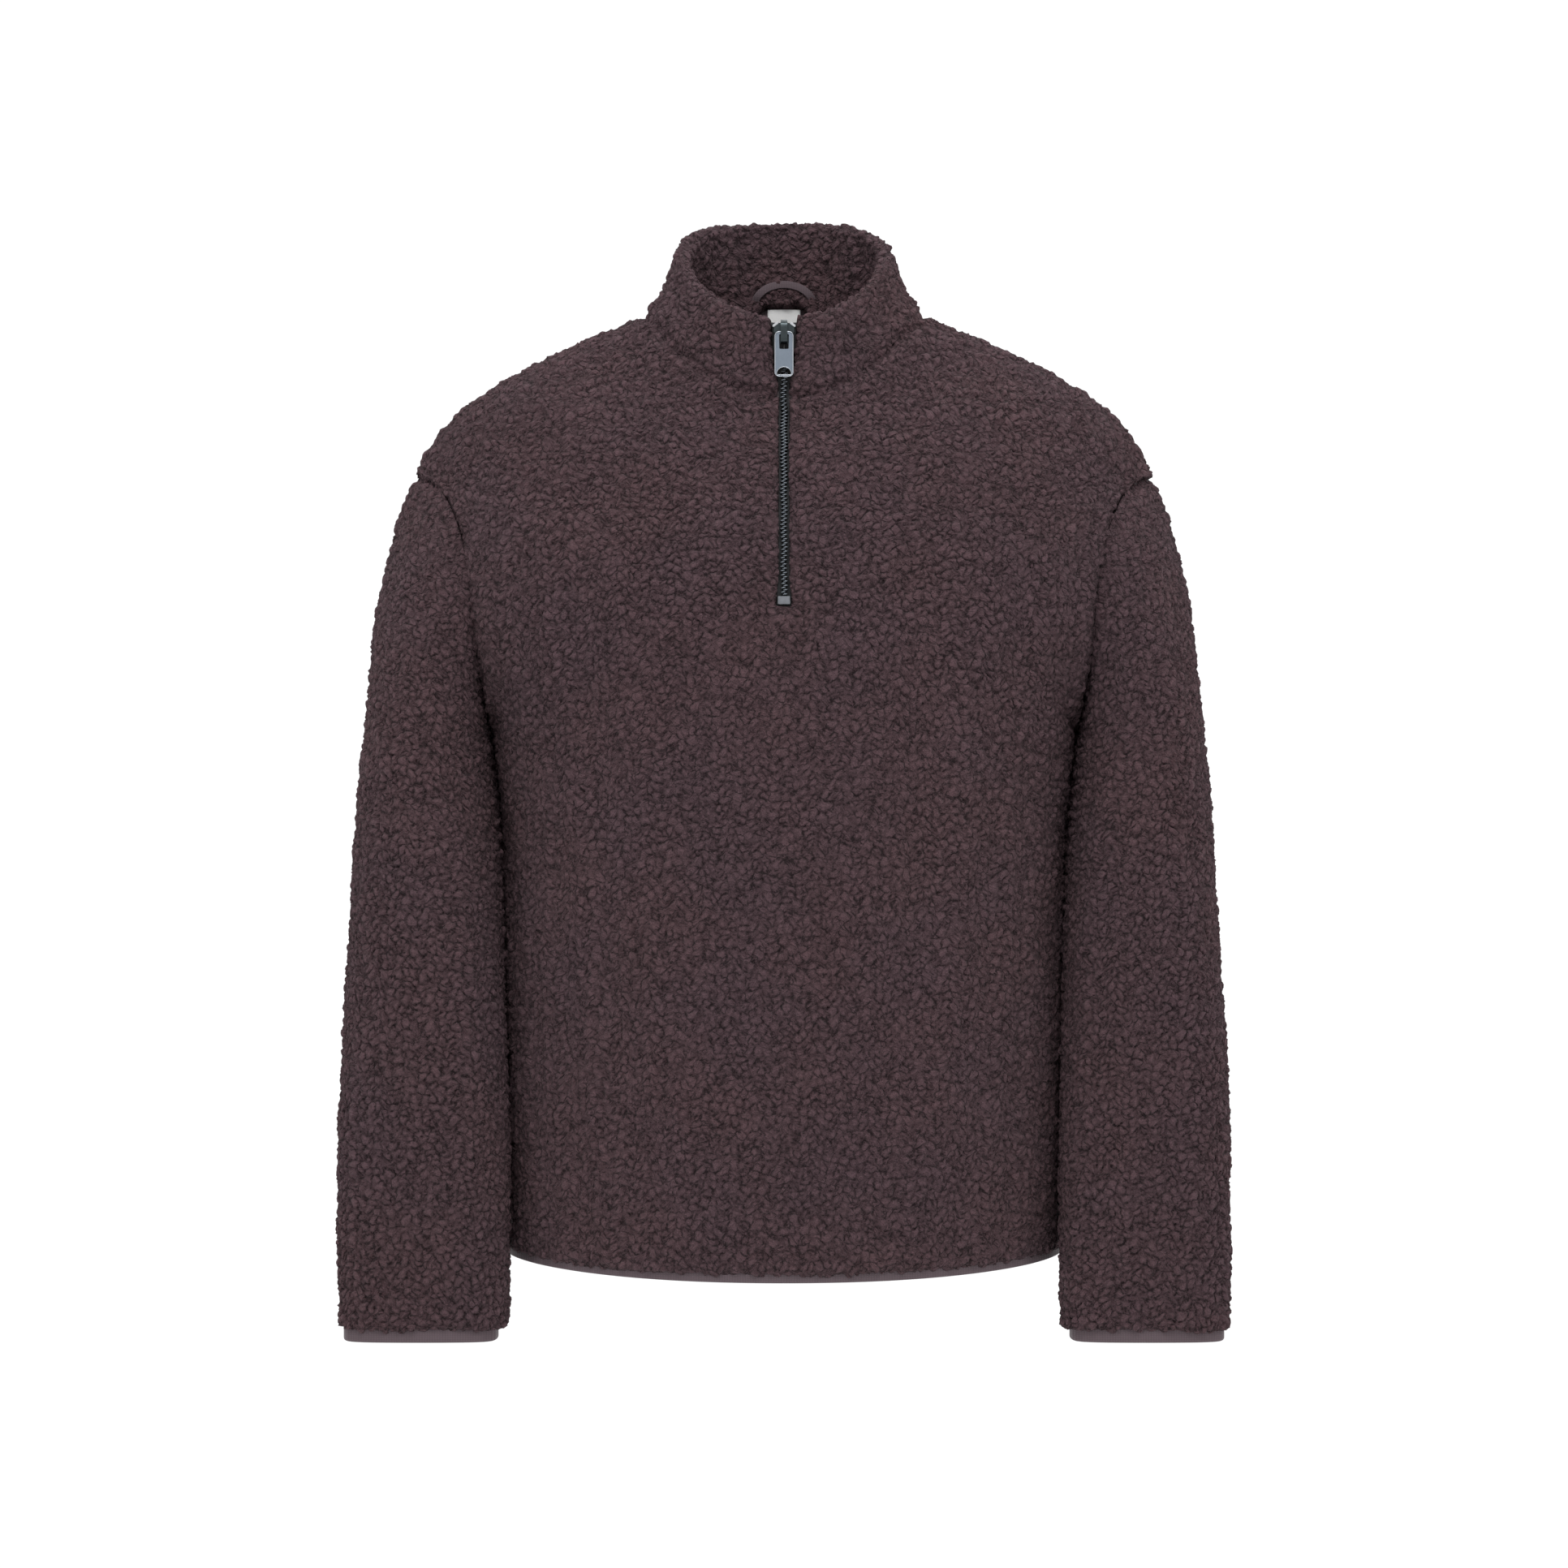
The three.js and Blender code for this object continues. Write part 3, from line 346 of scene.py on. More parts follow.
def body_point(row, half, x_sign, turn, depth):
    """A point depth below the pile's surface, on the left half or mirrored to the right."""
    row, turn = np.broadcast_arrays(np.asarray(row, float), np.asarray(turn, float))
    on = smooth_point(row, half, turn)
    out = np.where((turn > 0.9999)[..., None], seam_normal(row), body_normal(row, half, turn))
    moved = on - out * (depth + fold_depth(on, half))[..., None]
    return moved * np.stack(np.broadcast_arrays(x_sign, 1, 1), -1)


def turn_at(row, x, half=-1):
    """The turn at which a row lies x from the centre line: the sine's inverse."""
    end = section_end(row)
    return np.arcsin(x * np.sin(end) / edge_point(row, half)[..., 0]) / end


def row_at_height(z):
    """The row whose height on the front's centre line is z."""
    rows = np.linspace(0, TOP_ROW, 4001)
    return np.interp(z, curve(CENTRE, "zFront", rows), rows)


def zip_frame(z):
    """Origin and unit vectors across, up and out of something that sits on the zip at height z."""
    row = row_at_height(np.asarray(z, float))
    out = body_normal(row, -1, 0.0)
    across = np.broadcast_to([1.0, 0, 0], out.shape)
    return smooth_point(row, -1, 0.0), across, np.cross(out, across), out


# Pile

def turned(x, places):
    """32-bit numbers with their bits turned round to the left."""
    return ((x << places) | (x >> (32 - places))) & WRAP


def mixed_bits(a, b, c):
    """The last mixing of Jenkins' hash: seven rounds of exclusive or and subtraction, kept to 32 bits."""
    c = ((c ^ b) - turned(b, 14)) & WRAP
    a = ((a ^ c) - turned(c, 11)) & WRAP
    b = ((b ^ a) - turned(a, 25)) & WRAP
    c = ((c ^ b) - turned(b, 16)) & WRAP
    a = ((a ^ c) - turned(c, 4)) & WRAP
    b = ((b ^ a) - turned(a, 14)) & WRAP
    return ((c ^ b) - turned(b, 24)) & WRAP


def stirred(a, b, c):
    """The middle mixing of Jenkins' hash, for a fourth number."""
    for first, second, third in ((4, 6, 8), (16, 19, 4)):
        a = ((a - c) & WRAP) ^ turned(c, first)
        c = (c + b) & WRAP
        b = ((b - a) & WRAP) ^ turned(a, second)
        a = (a + c) & WRAP
        c = ((c - b) & WRAP) ^ turned(b, third)
        b = (b + a) & WRAP
    return a, b, c


def cell_points(cell):
    """The random point that Blender's Voronoi texture puts in each whole-numbered cell, by Jenkins' hash of
    its coordinates' bits, so that the material's creases run between the mesh's tufts."""
    x, y, z = np.moveaxis((cell.astype(np.float32) + 0).view(np.uint32).astype(np.int64), -1, 0)
    base = 0xDEADBEEF + 13
    three = mixed_bits((base + 12 + x) & WRAP, (base + 12 + y) & WRAP, (base + 12 + z) & WRAP)
    a, b, c = stirred((base + 16 + x) & WRAP, (base + 16 + y) & WRAP, (base + 16 + z) & WRAP)
    fourths = [mixed_bits((a + int(np.float32(w).view(np.uint32))) & WRAP, b, c) for w in (1, 2)]
    return np.stack([three, *fourths], -1) / WRAP


def edge_distance(points):
    """Distance to the border between the cells of the nearest and the next point: the least, over the
    neighbours, of the way to the plane midway between them. Also a number of chance for each cell."""
    home = np.floor(points)
    ways = np.stack([home + offset + cell_points(home + offset) - points
                     for offset in itertools.product((-1, 0, 1), repeat=3)])
    closest = np.argmin(np.sum(ways ** 2, -1), 0)
    nearest = np.take_along_axis(ways, closest[None, ..., None], 0)
    apart = ways - nearest
    length = np.linalg.norm(apart, axis=-1)
    to_border = np.sum((ways + nearest) / 2 * apart, -1) / np.maximum(length, 1e-6)
    chance = np.modf(np.abs((nearest[0] + points).sum(-1)) * 7)[0]
    return np.where(length > 0.01, to_border, 9).min(0), chance


def nap(points, size):
    """Points in units of the tufts' size, pushed about twice by sines so that the tufts aren't even."""
    where = points / size
    for push, pace, turns in ((0.24, 1.9, [1, 2, 0]), (0.11, 4.7, [2, 0, 1])):
        where = where + push * np.sin(where[..., turns] * pace + np.array([0.3, 1.7, 4.1]))
    return where.astype(np.float32)


def tuft_height(points):
    """Height of a tuft: a quarter circle of the distance to its border, times 0.6 to 1.3 by chance."""
    distance, chance = edge_distance(points)
    share = np.clip(distance / TUFT_ROUND, 0, 1)
    return np.sqrt(share * (2 - share)) * (0.6 + 0.7 * chance)


def waves(points, size, seed):
    """Gentle swells between -1 and 1: the mean of six sine waves in fixed directions, size mm long."""
    chance = np.random.default_rng(seed)
    directions = unit(chance.normal(size=(6, 3)))
    phases = chance.random(6) * 2 * math.pi
    lengths = size * np.linspace(0.7, 1.4, 6)
    return np.sin(points @ (directions / lengths[:, None]).T * 2 * math.pi + phases).mean(-1)


def grid_normals(points, sign, around=False):
    """Unit normals of a grid of points: the cross product of the differences along columns and rows."""
    if around:
        across = np.roll(points, -1, 1) - np.roll(points, 1, 1)
    else:
        across = np.gradient(points, axis=1)
    return unit(np.cross(across, np.gradient(points, axis=0)) * sign)


def reach_from(points, axis, back=False):
    """Length along a grid's rows or columns from one of its edges."""
    steps = np.linalg.norm(np.diff(points, axis=axis), axis=-1)
    first = np.zeros_like(np.take(steps, [0], axis=axis))
    total = np.concatenate([first, np.cumsum(steps, axis=axis)], axis=axis)
    return np.take(total, [-1], axis=axis) - total if back else total


def lip(distance, radius):
    """How far a rounded edge lies below the surface: radius minus the height of a quarter circle."""
    d = np.clip(distance, 0, radius)
    return radius - np.sqrt(np.clip(radius ** 2 - (radius - d) ** 2, 0, None))


def lapped(points, along, distance):
    """Points near a seam, moved along past it by a bell of their distance from it."""
    return points + unit(along) * bell(distance[..., None], SEAM_LAP, LAP_WIDE)


def piled(points, normals, settings, seed):
    """Points moved along their normals by the tufts' height about its usual level and by the panels' gentle
    unevenness, and the points' places in the nap, for the material."""
    where = nap(points, settings.tuft_size / METRES)
    rise = (tuft_height(where) - TUFT_LEVEL) * settings.tuft_height / METRES
    swell = settings.swell / METRES * waves(points, SWELL_LONG, seed)
    return points + normals * (rise + swell)[..., None], where


# Meshes

def new_object(name, points, faces, materials, body="garment", face_materials=None, values=None):
    """A mesh from points in millimetres and a list of arrays of faces, with one face size in each array."""
    mesh = bpy.data.meshes.new(name)
    mesh.vertices.add(len(points))
    mesh.vertices.foreach_set("co", (points * METRES).astype(np.float32).ravel())
    sizes = np.concatenate([np.full(len(f), f.shape[1]) for f in faces])
    starts = np.concatenate([[0], np.cumsum(sizes)[:-1]]).astype(np.int32)
    mesh.loops.add(int(sizes.sum()))
    mesh.loops.foreach_set("vertex_index", np.concatenate([f.ravel() for f in faces]).astype(np.int32))
    mesh.polygons.add(len(sizes))
    mesh.polygons.foreach_set("loop_start", starts)
    mesh.polygons.foreach_set("use_smooth", np.ones(len(sizes), bool))
    for material in materials:
        mesh.materials.append(material)
    if face_materials is not None:
        mesh.polygons.foreach_set("material_index", face_materials.astype(np.int32))
    mesh.update(calc_edges=True)
    for key, value in (values or {}).items():
        mesh.attributes.new(key, "FLOAT_VECTOR", "POINT").data.foreach_set("vector", value.ravel())
    made = bpy.data.objects.new(name, mesh)
    bpy.context.scene.collection.objects.link(made)
    if mesh.validate():
        raise RuntimeError(f"{name} has bad faces")
    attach(made, body)
    return made


def signed_volume(points, faces):
    """Volume of a closed mesh: a sixth of the sum of its triangles' triple products."""
    total = 0.0
    for f in faces:
        for k in range(1, f.shape[1] - 1):
            a, b, c = points[f[:, 0]], points[f[:, k]], points[f[:, k + 1]]
            total += np.einsum("ij,ij->", a, np.cross(b, c))
    return total / 6


def rim(outer, inner, kept):
    """Triangles that close a wall's edge, between a fine line of outer points and the inner ones under the
    kept places of that line: each gap's first half meets one inner point, and the rest the next."""
    a, b = kept[:-1], kept[1:]
    middle = (a + b) // 2
    k = np.arange(len(outer) - 1)
    gap = np.searchsorted(kept, k, side="right") - 1
    to = gap + (k >= middle[gap])
    fans = np.stack([outer[k + 1], outer[k], inner[to]], -1)
    joints = np.stack([outer[middle], inner[:-1], inner[1:]], -1)
    return np.concatenate([fans, joints])


def wall(outer, inner, rows, columns, slot=None, around=False):
    """A closed wall: a fine grid of outer points, and inner points at its kept rows and columns, joined by
    rims. slot is (row, column) of a cell from which a slit one cell wide runs up to the last row."""
    m, n = outer.shape[:2]
    ids = np.arange(m * n).reshape(m, n)
    under = m * n + np.arange(len(rows) * len(columns)).reshape(len(rows), len(columns))
    if around:
        ids, under = np.hstack([ids, ids[:, :1]]), np.hstack([under, under[:, :1]])
        columns = np.append(columns, n)

    def quads(grid, open_cells):
        four = np.stack([grid[:-1, :-1], grid[:-1, 1:], grid[1:, 1:], grid[1:, :-1]], -1)
        return four[~open_cells]

    fine = np.zeros((m - 1, ids.shape[1] - 1), bool)
    coarse = np.zeros((len(rows) - 1, len(columns) - 1), bool)
    if slot:
        low, column = slot
        kept_low, kept_column = np.searchsorted(rows, low), np.searchsorted(columns, column)
        fine[low:, column] = True
        coarse[kept_low:, kept_column] = True

    def backwards(line, places):
        return line[::-1], (len(line) - 1 - places)[::-1]

    edges = [(ids[0], under[0], columns)]
    top, top_places = backwards(ids[-1], columns)
    if slot:
        right = len(columns) - 1 - kept_column - 1
        cut = len(ids[-1]) - 1 - column - 1
        under_top = under[-1][::-1]
        edges.append((top[:cut + 1], under_top[:right + 1], top_places[:right + 1]))
        edges.append((top[cut + 1:], under_top[right + 1:], top_places[right + 1:] - cut - 1))
        side, side_places = backwards(ids[low:, column + 1], rows[kept_low:] - low)
        edges.append((ids[low:, column], under[kept_low:, kept_column], rows[kept_low:] - low))
        edges.append((side, under[kept_low:, kept_column + 1][::-1], side_places))
        edges.append((ids[low, column:column + 2][::-1], under[kept_low, kept_column:kept_column + 2][::-1],
                      np.array([0, 1])))
    else:
        edges.append((top, under[-1][::-1], top_places))
    if not around:
        left, left_places = backwards(ids[:, 0], rows)
        edges.append((ids[:, -1], under[:, -1], rows))
        edges.append((left, under[:, 0][::-1], left_places))
    outside, inside = quads(ids, fine), quads(under, coarse)[:, ::-1]
    rims = np.concatenate([rim(*edge) for edge in edges])
    points = np.concatenate([outer.reshape(-1, 3), inner.reshape(-1, 3)])
    faces = [outside, inside, rims]
    if signed_volume(points, faces) < 0:
        faces = [f[:, ::-1] for f in faces]
    kinds = np.repeat([0, 1, 0], [len(f) for f in faces])
    return points, faces, kinds


def fleece_piece(name, wall_parts, where, nodes, materials):
    """A wall of fleece with its place in the nap as an attribute, in place of the nodes that it hides."""
    points, faces, kinds = wall_parts
    places = nap(points, bpy.context.scene.pullover_pile.tuft_size / METRES)
    places[:where[..., 0].size] = where.reshape(-1, 3)
    made = new_object(name, points, faces, materials, face_materials=kinds, values={"nap": places})
    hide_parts(*nodes)
    return made


def even_steps(lengths, values, cells):
    """Values at equal steps of a growing length."""
    return np.interp(np.linspace(0, lengths[-1], cells + 1), lengths, values)


def carried(profile, origins, across, up):
    """A closed profile of (across, up) pairs carried along a path: origin + a * across + b * up."""
    a, b = profile[:, 0], profile[:, 1]
    return origins[:, None] + across[:, None] * a[None, :, None] + up[:, None] * b[None, :, None]


def tube_faces(rows, columns, closed):
    """Quads of a tube: columns go round its profile, and rows along it, round and round if it is closed."""
    ids = np.arange(rows * columns).reshape(rows, columns)
    ids = np.hstack([ids, ids[:, :1]])
    if closed:
        ids = np.vstack([ids, ids[:1]])
    return np.stack([ids[:-1, :-1], ids[:-1, 1:], ids[1:, 1:], ids[1:, :-1]], -1).reshape(-1, 4)


def outward(points, faces):
    """The faces, turned round if the mesh is inside out."""
    return [f[:, ::-1] for f in faces] if signed_volume(points, faces) < 0 else faces


def rounded_strip(wide, tall, corner, steps=4):
    """Profile of a strip with round corners: four quarter circles."""
    turns = np.concatenate([np.linspace(q, q + QUARTER, steps) for q in np.arange(4) * QUARTER])
    centre_a = np.repeat([1, -1, -1, 1], steps) * (wide / 2 - corner)
    centre_b = np.repeat([1, 1, -1, -1], steps) * (tall / 2 - corner)
    return np.stack([centre_a + corner * np.cos(turns), centre_b + corner * np.sin(turns)], -1)


# Finishes

def linear(text):
    """An sRGB hex colour as linear red, green, blue and alpha."""
    parts = [int(text[i:i + 2], 16) / 255 for i in (0, 2, 4)]
    return [p / 12.92 if p <= 0.04045 else ((p + 0.055) / 1.055) ** 2.4 for p in parts] + [1.0]


def shaded(colour, factor):
    """A colour made darker or lighter by a factor."""
    return [min(c * factor, 1.0) for c in colour[:3]] + [1.0]


def per_metre(millimetres):
    """The scale of a pattern on coordinates in metres that repeats every so many millimetres."""
    return 1 / (millimetres * METRES)


def node(tree, kind, inputs=None, **settings):
    """Adds a node, sets its properties, and gives each input a value or a link."""
    made = tree.nodes.new(kind)
    for name, value in settings.items():
        setattr(made, name, value)
    for name, value in (inputs or {}).items():
        if isinstance(value, bpy.types.NodeSocket):
            tree.links.new(value, made.inputs[name])
        else:
            made.inputs[name].default_value = value
    return made


def blank_material(name):
    """A new material with its node tree, shader and Object coordinates."""
    made = bpy.data.materials.new(name)
    made.use_nodes = True
    tree = made.node_tree
    shader = tree.nodes["Principled BSDF"]
    return made, tree, shader, tree.nodes.new("ShaderNodeTexCoord").outputs["Object"]


def blend(tree, share, low, high):
    """A colour between two others."""
    return node(tree, "ShaderNodeMix", {0: share, 6: low, 7: high}, data_type="RGBA").outputs[2]


def sums(tree, operation, *values):
    """The result of a Math node."""
    return node(tree, "ShaderNodeMath", dict(enumerate(values)), operation=operation).outputs[0]


def vectors(tree, operation, *values):
    """The result of a Vector Math node."""
    return node(tree, "ShaderNodeVectorMath", dict(enumerate(values)), operation=operation).outputs[0]


def remap(tree, value, low, high, to_low=0.0, to_high=1.0, kind="LINEAR"):
    """A value between low and high, moved to another range and kept in it."""
    ends = {"Value": value, "From Min": low, "From Max": high, "To Min": to_low, "To Max": to_high}
    return node(tree, "ShaderNodeMapRange", ends, interpolation_type=kind).outputs[0]


def noise(tree, where, scale, detail=1.0, output="Fac"):
    """Soft random lumps, so many to a unit of the coordinates."""
    inputs = {"Vector": where, "Scale": scale, "Detail": detail}
    return node(tree, "ShaderNodeTexNoise", inputs).outputs[output]


def cells(tree, where, scale, feature="F1"):
    """Distance to a cell's random point, or to the border between two cells."""
    made = node(tree, "ShaderNodeTexVoronoi", {"Vector": where, "Scale": scale}, feature=feature)
    return made.outputs["Distance"]


def bands(tree, where, thread, direction, distortion=0.0):
    """Even bands of light and dark, each pair as wide as about two threads of so many millimetres."""
    inputs = {"Vector": where, "Scale": per_metre(thread) / 6.28, "Distortion": distortion, "Detail": 1.0}
    return node(tree, "ShaderNodeTexWave", inputs, bands_direction=direction).outputs["Fac"]


def coloured(tree, shader, colour):
    """Links a colour to the shader."""
    tree.links.new(colour, shader.inputs["Base Color"])


def bumped(tree, shader, height, strength, distance):
    """Lets a height tilt the shader's normals, as relief of distance metres for each unit of it."""
    bump = node(tree, "ShaderNodeBump", {"Height": height, "Strength": strength, "Distance": distance})
    tree.links.new(bump.outputs[0], shader.inputs["Normal"])


def sherpa(settings):
    """Sherpa fleece, a knitted polyester pile brushed and tumbled into curls: matt, with crooked creases of
    uneven depth between tufts darkened by painted shade, tips lightened by painted highlights, small lumps
    of curled fibre and a soft halo of fibre ends."""
    made, tree, shader, _ = blank_material("sherpa_fleece")
    colour = list(settings.fleece) + [1.0]
    where = node(tree, "ShaderNodeAttribute", attribute_name="nap").outputs["Vector"]
    pushes = vectors(tree, "SUBTRACT", noise(tree, where, 2.3, 1.0, "Color"), (0.5, 0.5, 0.5))
    crooked = vectors(tree, "MULTIPLY_ADD", pushes, (0.55, 0.55, 0.55), where)
    border = cells(tree, crooked, 1.0, "DISTANCE_TO_EDGE")
    loose = remap(tree, noise(tree, where, 0.85), 0.32, 0.68, 0.1, 0.34)
    felted = remap(tree, noise(tree, where, 1.3), 0.42, 0.62, 0.0, 0.5)
    dome = sums(tree, "MAXIMUM", remap(tree, border, 0.0, loose, kind="SMOOTHSTEP"), felted)
    curl = cells(tree, crooked, settings.tuft_size / settings.curl_size)
    curled = sums(tree, "MULTIPLY_ADD", sums(tree, "MULTIPLY", curl, curl), -0.7, dome)
    wisps = sums(tree, "ADD", noise(tree, where, 6.0, 3.0), curled)
    # Painted shade: the pile's colour is darkened in the creases between tufts, where shade falls
    crease_shade_share = remap(tree, wisps, 0.1, 0.9, kind="SMOOTHSTEP")
    # Painted highlight: the tufts' tips are made lighter than the pile's colour, as where light catches
    # them
    tips = remap(tree, wisps, 1.1, 1.55)
    crease_shaded_colour = blend(tree, crease_shade_share, shaded(colour, settings.crease_painted_shade), colour)
    tip_highlighted_colour = blend(tree, tips, crease_shaded_colour, shaded(colour, settings.tip_painted_highlight))
    cloud = remap(tree, noise(tree, where, 0.09, 2.0), 0.35, 0.65)
    warm = blend(tree, cloud, (0.98, 0.99, 1.01, 1.0), (1.03, 1.0, 0.98, 1.0))
    coloured(tree, shader, vectors(tree, "MULTIPLY", tip_highlighted_colour, warm))
    bumped(tree, shader, wisps, 1.0, 0.0022)
    shader.inputs["Roughness"].default_value = 0.95
    shader.inputs["Specular IOR Level"].default_value = 0.15
    shader.inputs["Sheen Weight"].default_value = 0.15
    shader.inputs["Sheen Roughness"].default_value = 0.5
    shader.inputs["Sheen Tint"].default_value = linear("a08c90")
    return made


def knit(name, hex_colour, stitch, lighter=1.25, sheen=0.2):
    """Fine jersey knit, in rows of loops: smooth and matt, with a faint rib across and along."""
    made, tree, shader, where = blank_material(name)
    colour = linear(hex_colour)
    wales, rows = bands(tree, where, stitch, "X", 1.5), bands(tree, where, stitch * 0.8, "Z", 1.2)
    loops = sums(tree, "MULTIPLY", wales, rows)
    mixed = sums(tree, "MULTIPLY_ADD", noise(tree, where, per_metre(9), 3.0), 0.5, loops)
    share = remap(tree, mixed, 0.15, 1.1)
    coloured(tree, shader, blend(tree, share, shaded(colour, 0.82), shaded(colour, lighter)))
    bumped(tree, shader, mixed, 0.35, 0.0004)
    shader.inputs["Roughness"].default_value = 0.85
    shader.inputs["Sheen Weight"].default_value = sheen
    shader.inputs["Sheen Roughness"].default_value = 0.4
    return made


def woven(name, hex_colour, thread, roughness=0.8, deep=0.7):
    """Narrow woven tape or label: warp and weft threads crossing, with a slight gloss on satin weaves."""
    made, tree, shader, where = blank_material(name)
    colour = linear(hex_colour)
    mesh = sums(tree, "MAXIMUM", bands(tree, where, thread, "X"), bands(tree, where, thread, "DIAGONAL"))
    coloured(tree, shader, blend(tree, mesh, shaded(colour, deep), shaded(colour, 1.15)))
    bumped(tree, shader, mesh, 0.4, 0.0002)
    shader.inputs["Roughness"].default_value = roughness
    return made


def metal(name, hex_colour, roughness, grain=None, wear=0.12):
    """Plated or bare metal: its roughness varies a little, and brushing draws fine lines up the piece."""
    made, tree, shader, where = blank_material(name)
    colour = linear(hex_colour)
    stretch = (1.0, 1.0, 0.06) if grain else (1, 1, 1)
    stretched = node(tree, "ShaderNodeMapping", {"Vector": where, "Scale": stretch}).outputs[0]
    lines = noise(tree, stretched, per_metre(grain or 2.5), 3.0)
    coloured(tree, shader, blend(tree, lines, shaded(colour, 1 - wear), shaded(colour, 1 + wear)))
    rough = remap(tree, lines, 0.25, 0.75, roughness * 0.8, roughness * 1.2)
    tree.links.new(rough, shader.inputs["Roughness"])
    bumped(tree, shader, lines, 0.12, 0.0002)
    shader.inputs["Metallic"].default_value = 1.0
    return made


FINISHES = {}


def finish(name, make, *values):
    """The material of that name, made the first time it is asked for."""
    if name not in FINISHES:
        FINISHES[name] = make(*values)
    return FINISHES[name]


def fleece_finishes():
    settings = bpy.context.scene.pullover_pile
    return [finish("sherpa", sherpa, settings), finish("backing", knit, "knit_backing", "3c3134", 1.4)]


def jersey_finish():
    return finish("jersey", knit, "jersey_knit", "4c3f44", 0.9, 1.2)


# Sizes and colours that a user would change

class PULLOVER_PG_pile(bpy.types.PropertyGroup):
    """Pile and colour of the fleece."""
    fleece: bpy.props.FloatVectorProperty(
        name="Fleece", description="Colour of the pile where it is neither deep nor a tip",
        subtype="COLOR", size=3, default=linear("47363a")[:3], min=0, max=1)
    # Painted shade in the creases between tufts: how dark the pile's colour is made there, as a share of it
    crease_painted_shade: bpy.props.FloatProperty(
        name="Gap shade", description="How dark the pile is between tufts, as a share of its colour",
        default=0.22, min=0, max=1, subtype="FACTOR")
    # Painted highlight on the tufts' tips: how light their colour is made, as a share of the pile's
    tip_painted_highlight: bpy.props.FloatProperty(
        name="Tip shade", description="How light the tufts' tips are, as a share of the pile's colour",
        default=1.45, min=1, max=3)
    tuft_size: bpy.props.FloatProperty(
        name="Tuft size", description="Distance from one tuft to the next",
        default=0.0057, min=0.003, max=0.02, subtype="DISTANCE", unit="LENGTH")
    curl_size: bpy.props.FloatProperty(
        name="Curl size", description="Distance from one fine curl to the next on a tuft",
        default=0.0023, min=0.001, max=0.006, subtype="DISTANCE", unit="LENGTH")
    tuft_height: bpy.props.FloatProperty(
        name="Tuft height", description="Height of the tufts over the gaps between them",
        default=0.0034, min=0, max=0.008, subtype="DISTANCE", unit="LENGTH")
    swell: bpy.props.FloatProperty(
        name="Swell", description="Height of the panels' gentle unevenness",
        default=0.0014, min=0, max=0.006, subtype="DISTANCE", unit="LENGTH")
    spacing: bpy.props.FloatProperty(
        name="Spacing", description="Distance between the mesh's points",
        default=0.00245, min=0.0018, max=0.01, subtype="DISTANCE", unit="LENGTH")


class PULLOVER_PG_zip(bpy.types.PropertyGroup):
    """Sizes of the zip's teeth and of the pull tab's rim."""
    pitch: bpy.props.FloatProperty(
        name="Pitch", description="Distance from one tooth to the next on the same tape",
        default=0.003, min=0.002, max=0.006, subtype="DISTANCE", unit="LENGTH")
    tooth: bpy.props.FloatVectorProperty(
        name="Tooth", description="Half sizes of a tooth across, along and out of the zip",
        default=(0.0019, 0.00062, 0.0016), size=3, subtype="XYZ", unit="LENGTH")
    rim: bpy.props.FloatProperty(
        name="Rim", description="Radius of the polished rim round the pull tab",
        default=0.0004, min=0.0002, max=0.001, subtype="DISTANCE", unit="LENGTH")


class PULLOVER_PG_stage(bpy.types.PropertyGroup):
    """Camera and light."""
    distance: bpy.props.FloatProperty(
        name="Distance", description="From the camera to the garment's middle",
        default=3.0, min=1, max=10, subtype="DISTANCE", unit="LENGTH")
    elevation: bpy.props.FloatProperty(
        name="Elevation", description="Height of the camera above the level",
        default=math.radians(2.5), min=-1.5, max=1.5, subtype="ANGLE", unit="ROTATION")
    view_width: bpy.props.FloatProperty(
        name="View width", description="Width of the view at the garment's middle",
        default=1.12056, min=0.5, max=5, subtype="DISTANCE", unit="LENGTH")
    aim_height: bpy.props.FloatProperty(
        name="Aim height", description="Height that the camera looks at",
        default=-0.331, min=-2, max=2, subtype="DISTANCE", unit="LENGTH")
    key: bpy.props.FloatProperty(
        name="Key light", description="Power of the large soft light above and in front",
        default=60.0, min=0, max=1000, unit="POWER")
    fill: bpy.props.FloatProperty(
        name="Fill light", description="Power of each light beside the garment",
        default=11.0, min=0, max=1000, unit="POWER")
    sky: bpy.props.FloatProperty(
        name="Room light", description="Strength of the even light from the room",
        default=0.92, min=0, max=10)


# Pieces

def whole_cells(length, spacing):
    """How many cells of about that spacing fill a length, as a multiple of EVERY."""
    return EVERY * math.ceil(length / spacing / EVERY)


def turned_to(normals, goal, distance):
    """Normals turned to the seam's own near it, by the share (1 - distance / SIDE_BLEND) squared."""
    near = np.clip(1 - distance / SIDE_BLEND, 0, 1)[..., None] ** 2
    return unit(normals * (1 - near) + goal * near)


def collar_seam(distance):
    """Depth of the pile beside the collar's seam: a bell at the seam, less a lower one beside it."""
    return (bell(distance, COLLAR_SEAM_DEEP, COLLAR_SEAM_WIDE)
            - bell(distance - SEAM_FULL_OFF, SEAM_FULL, SEAM_FULL_WIDE))


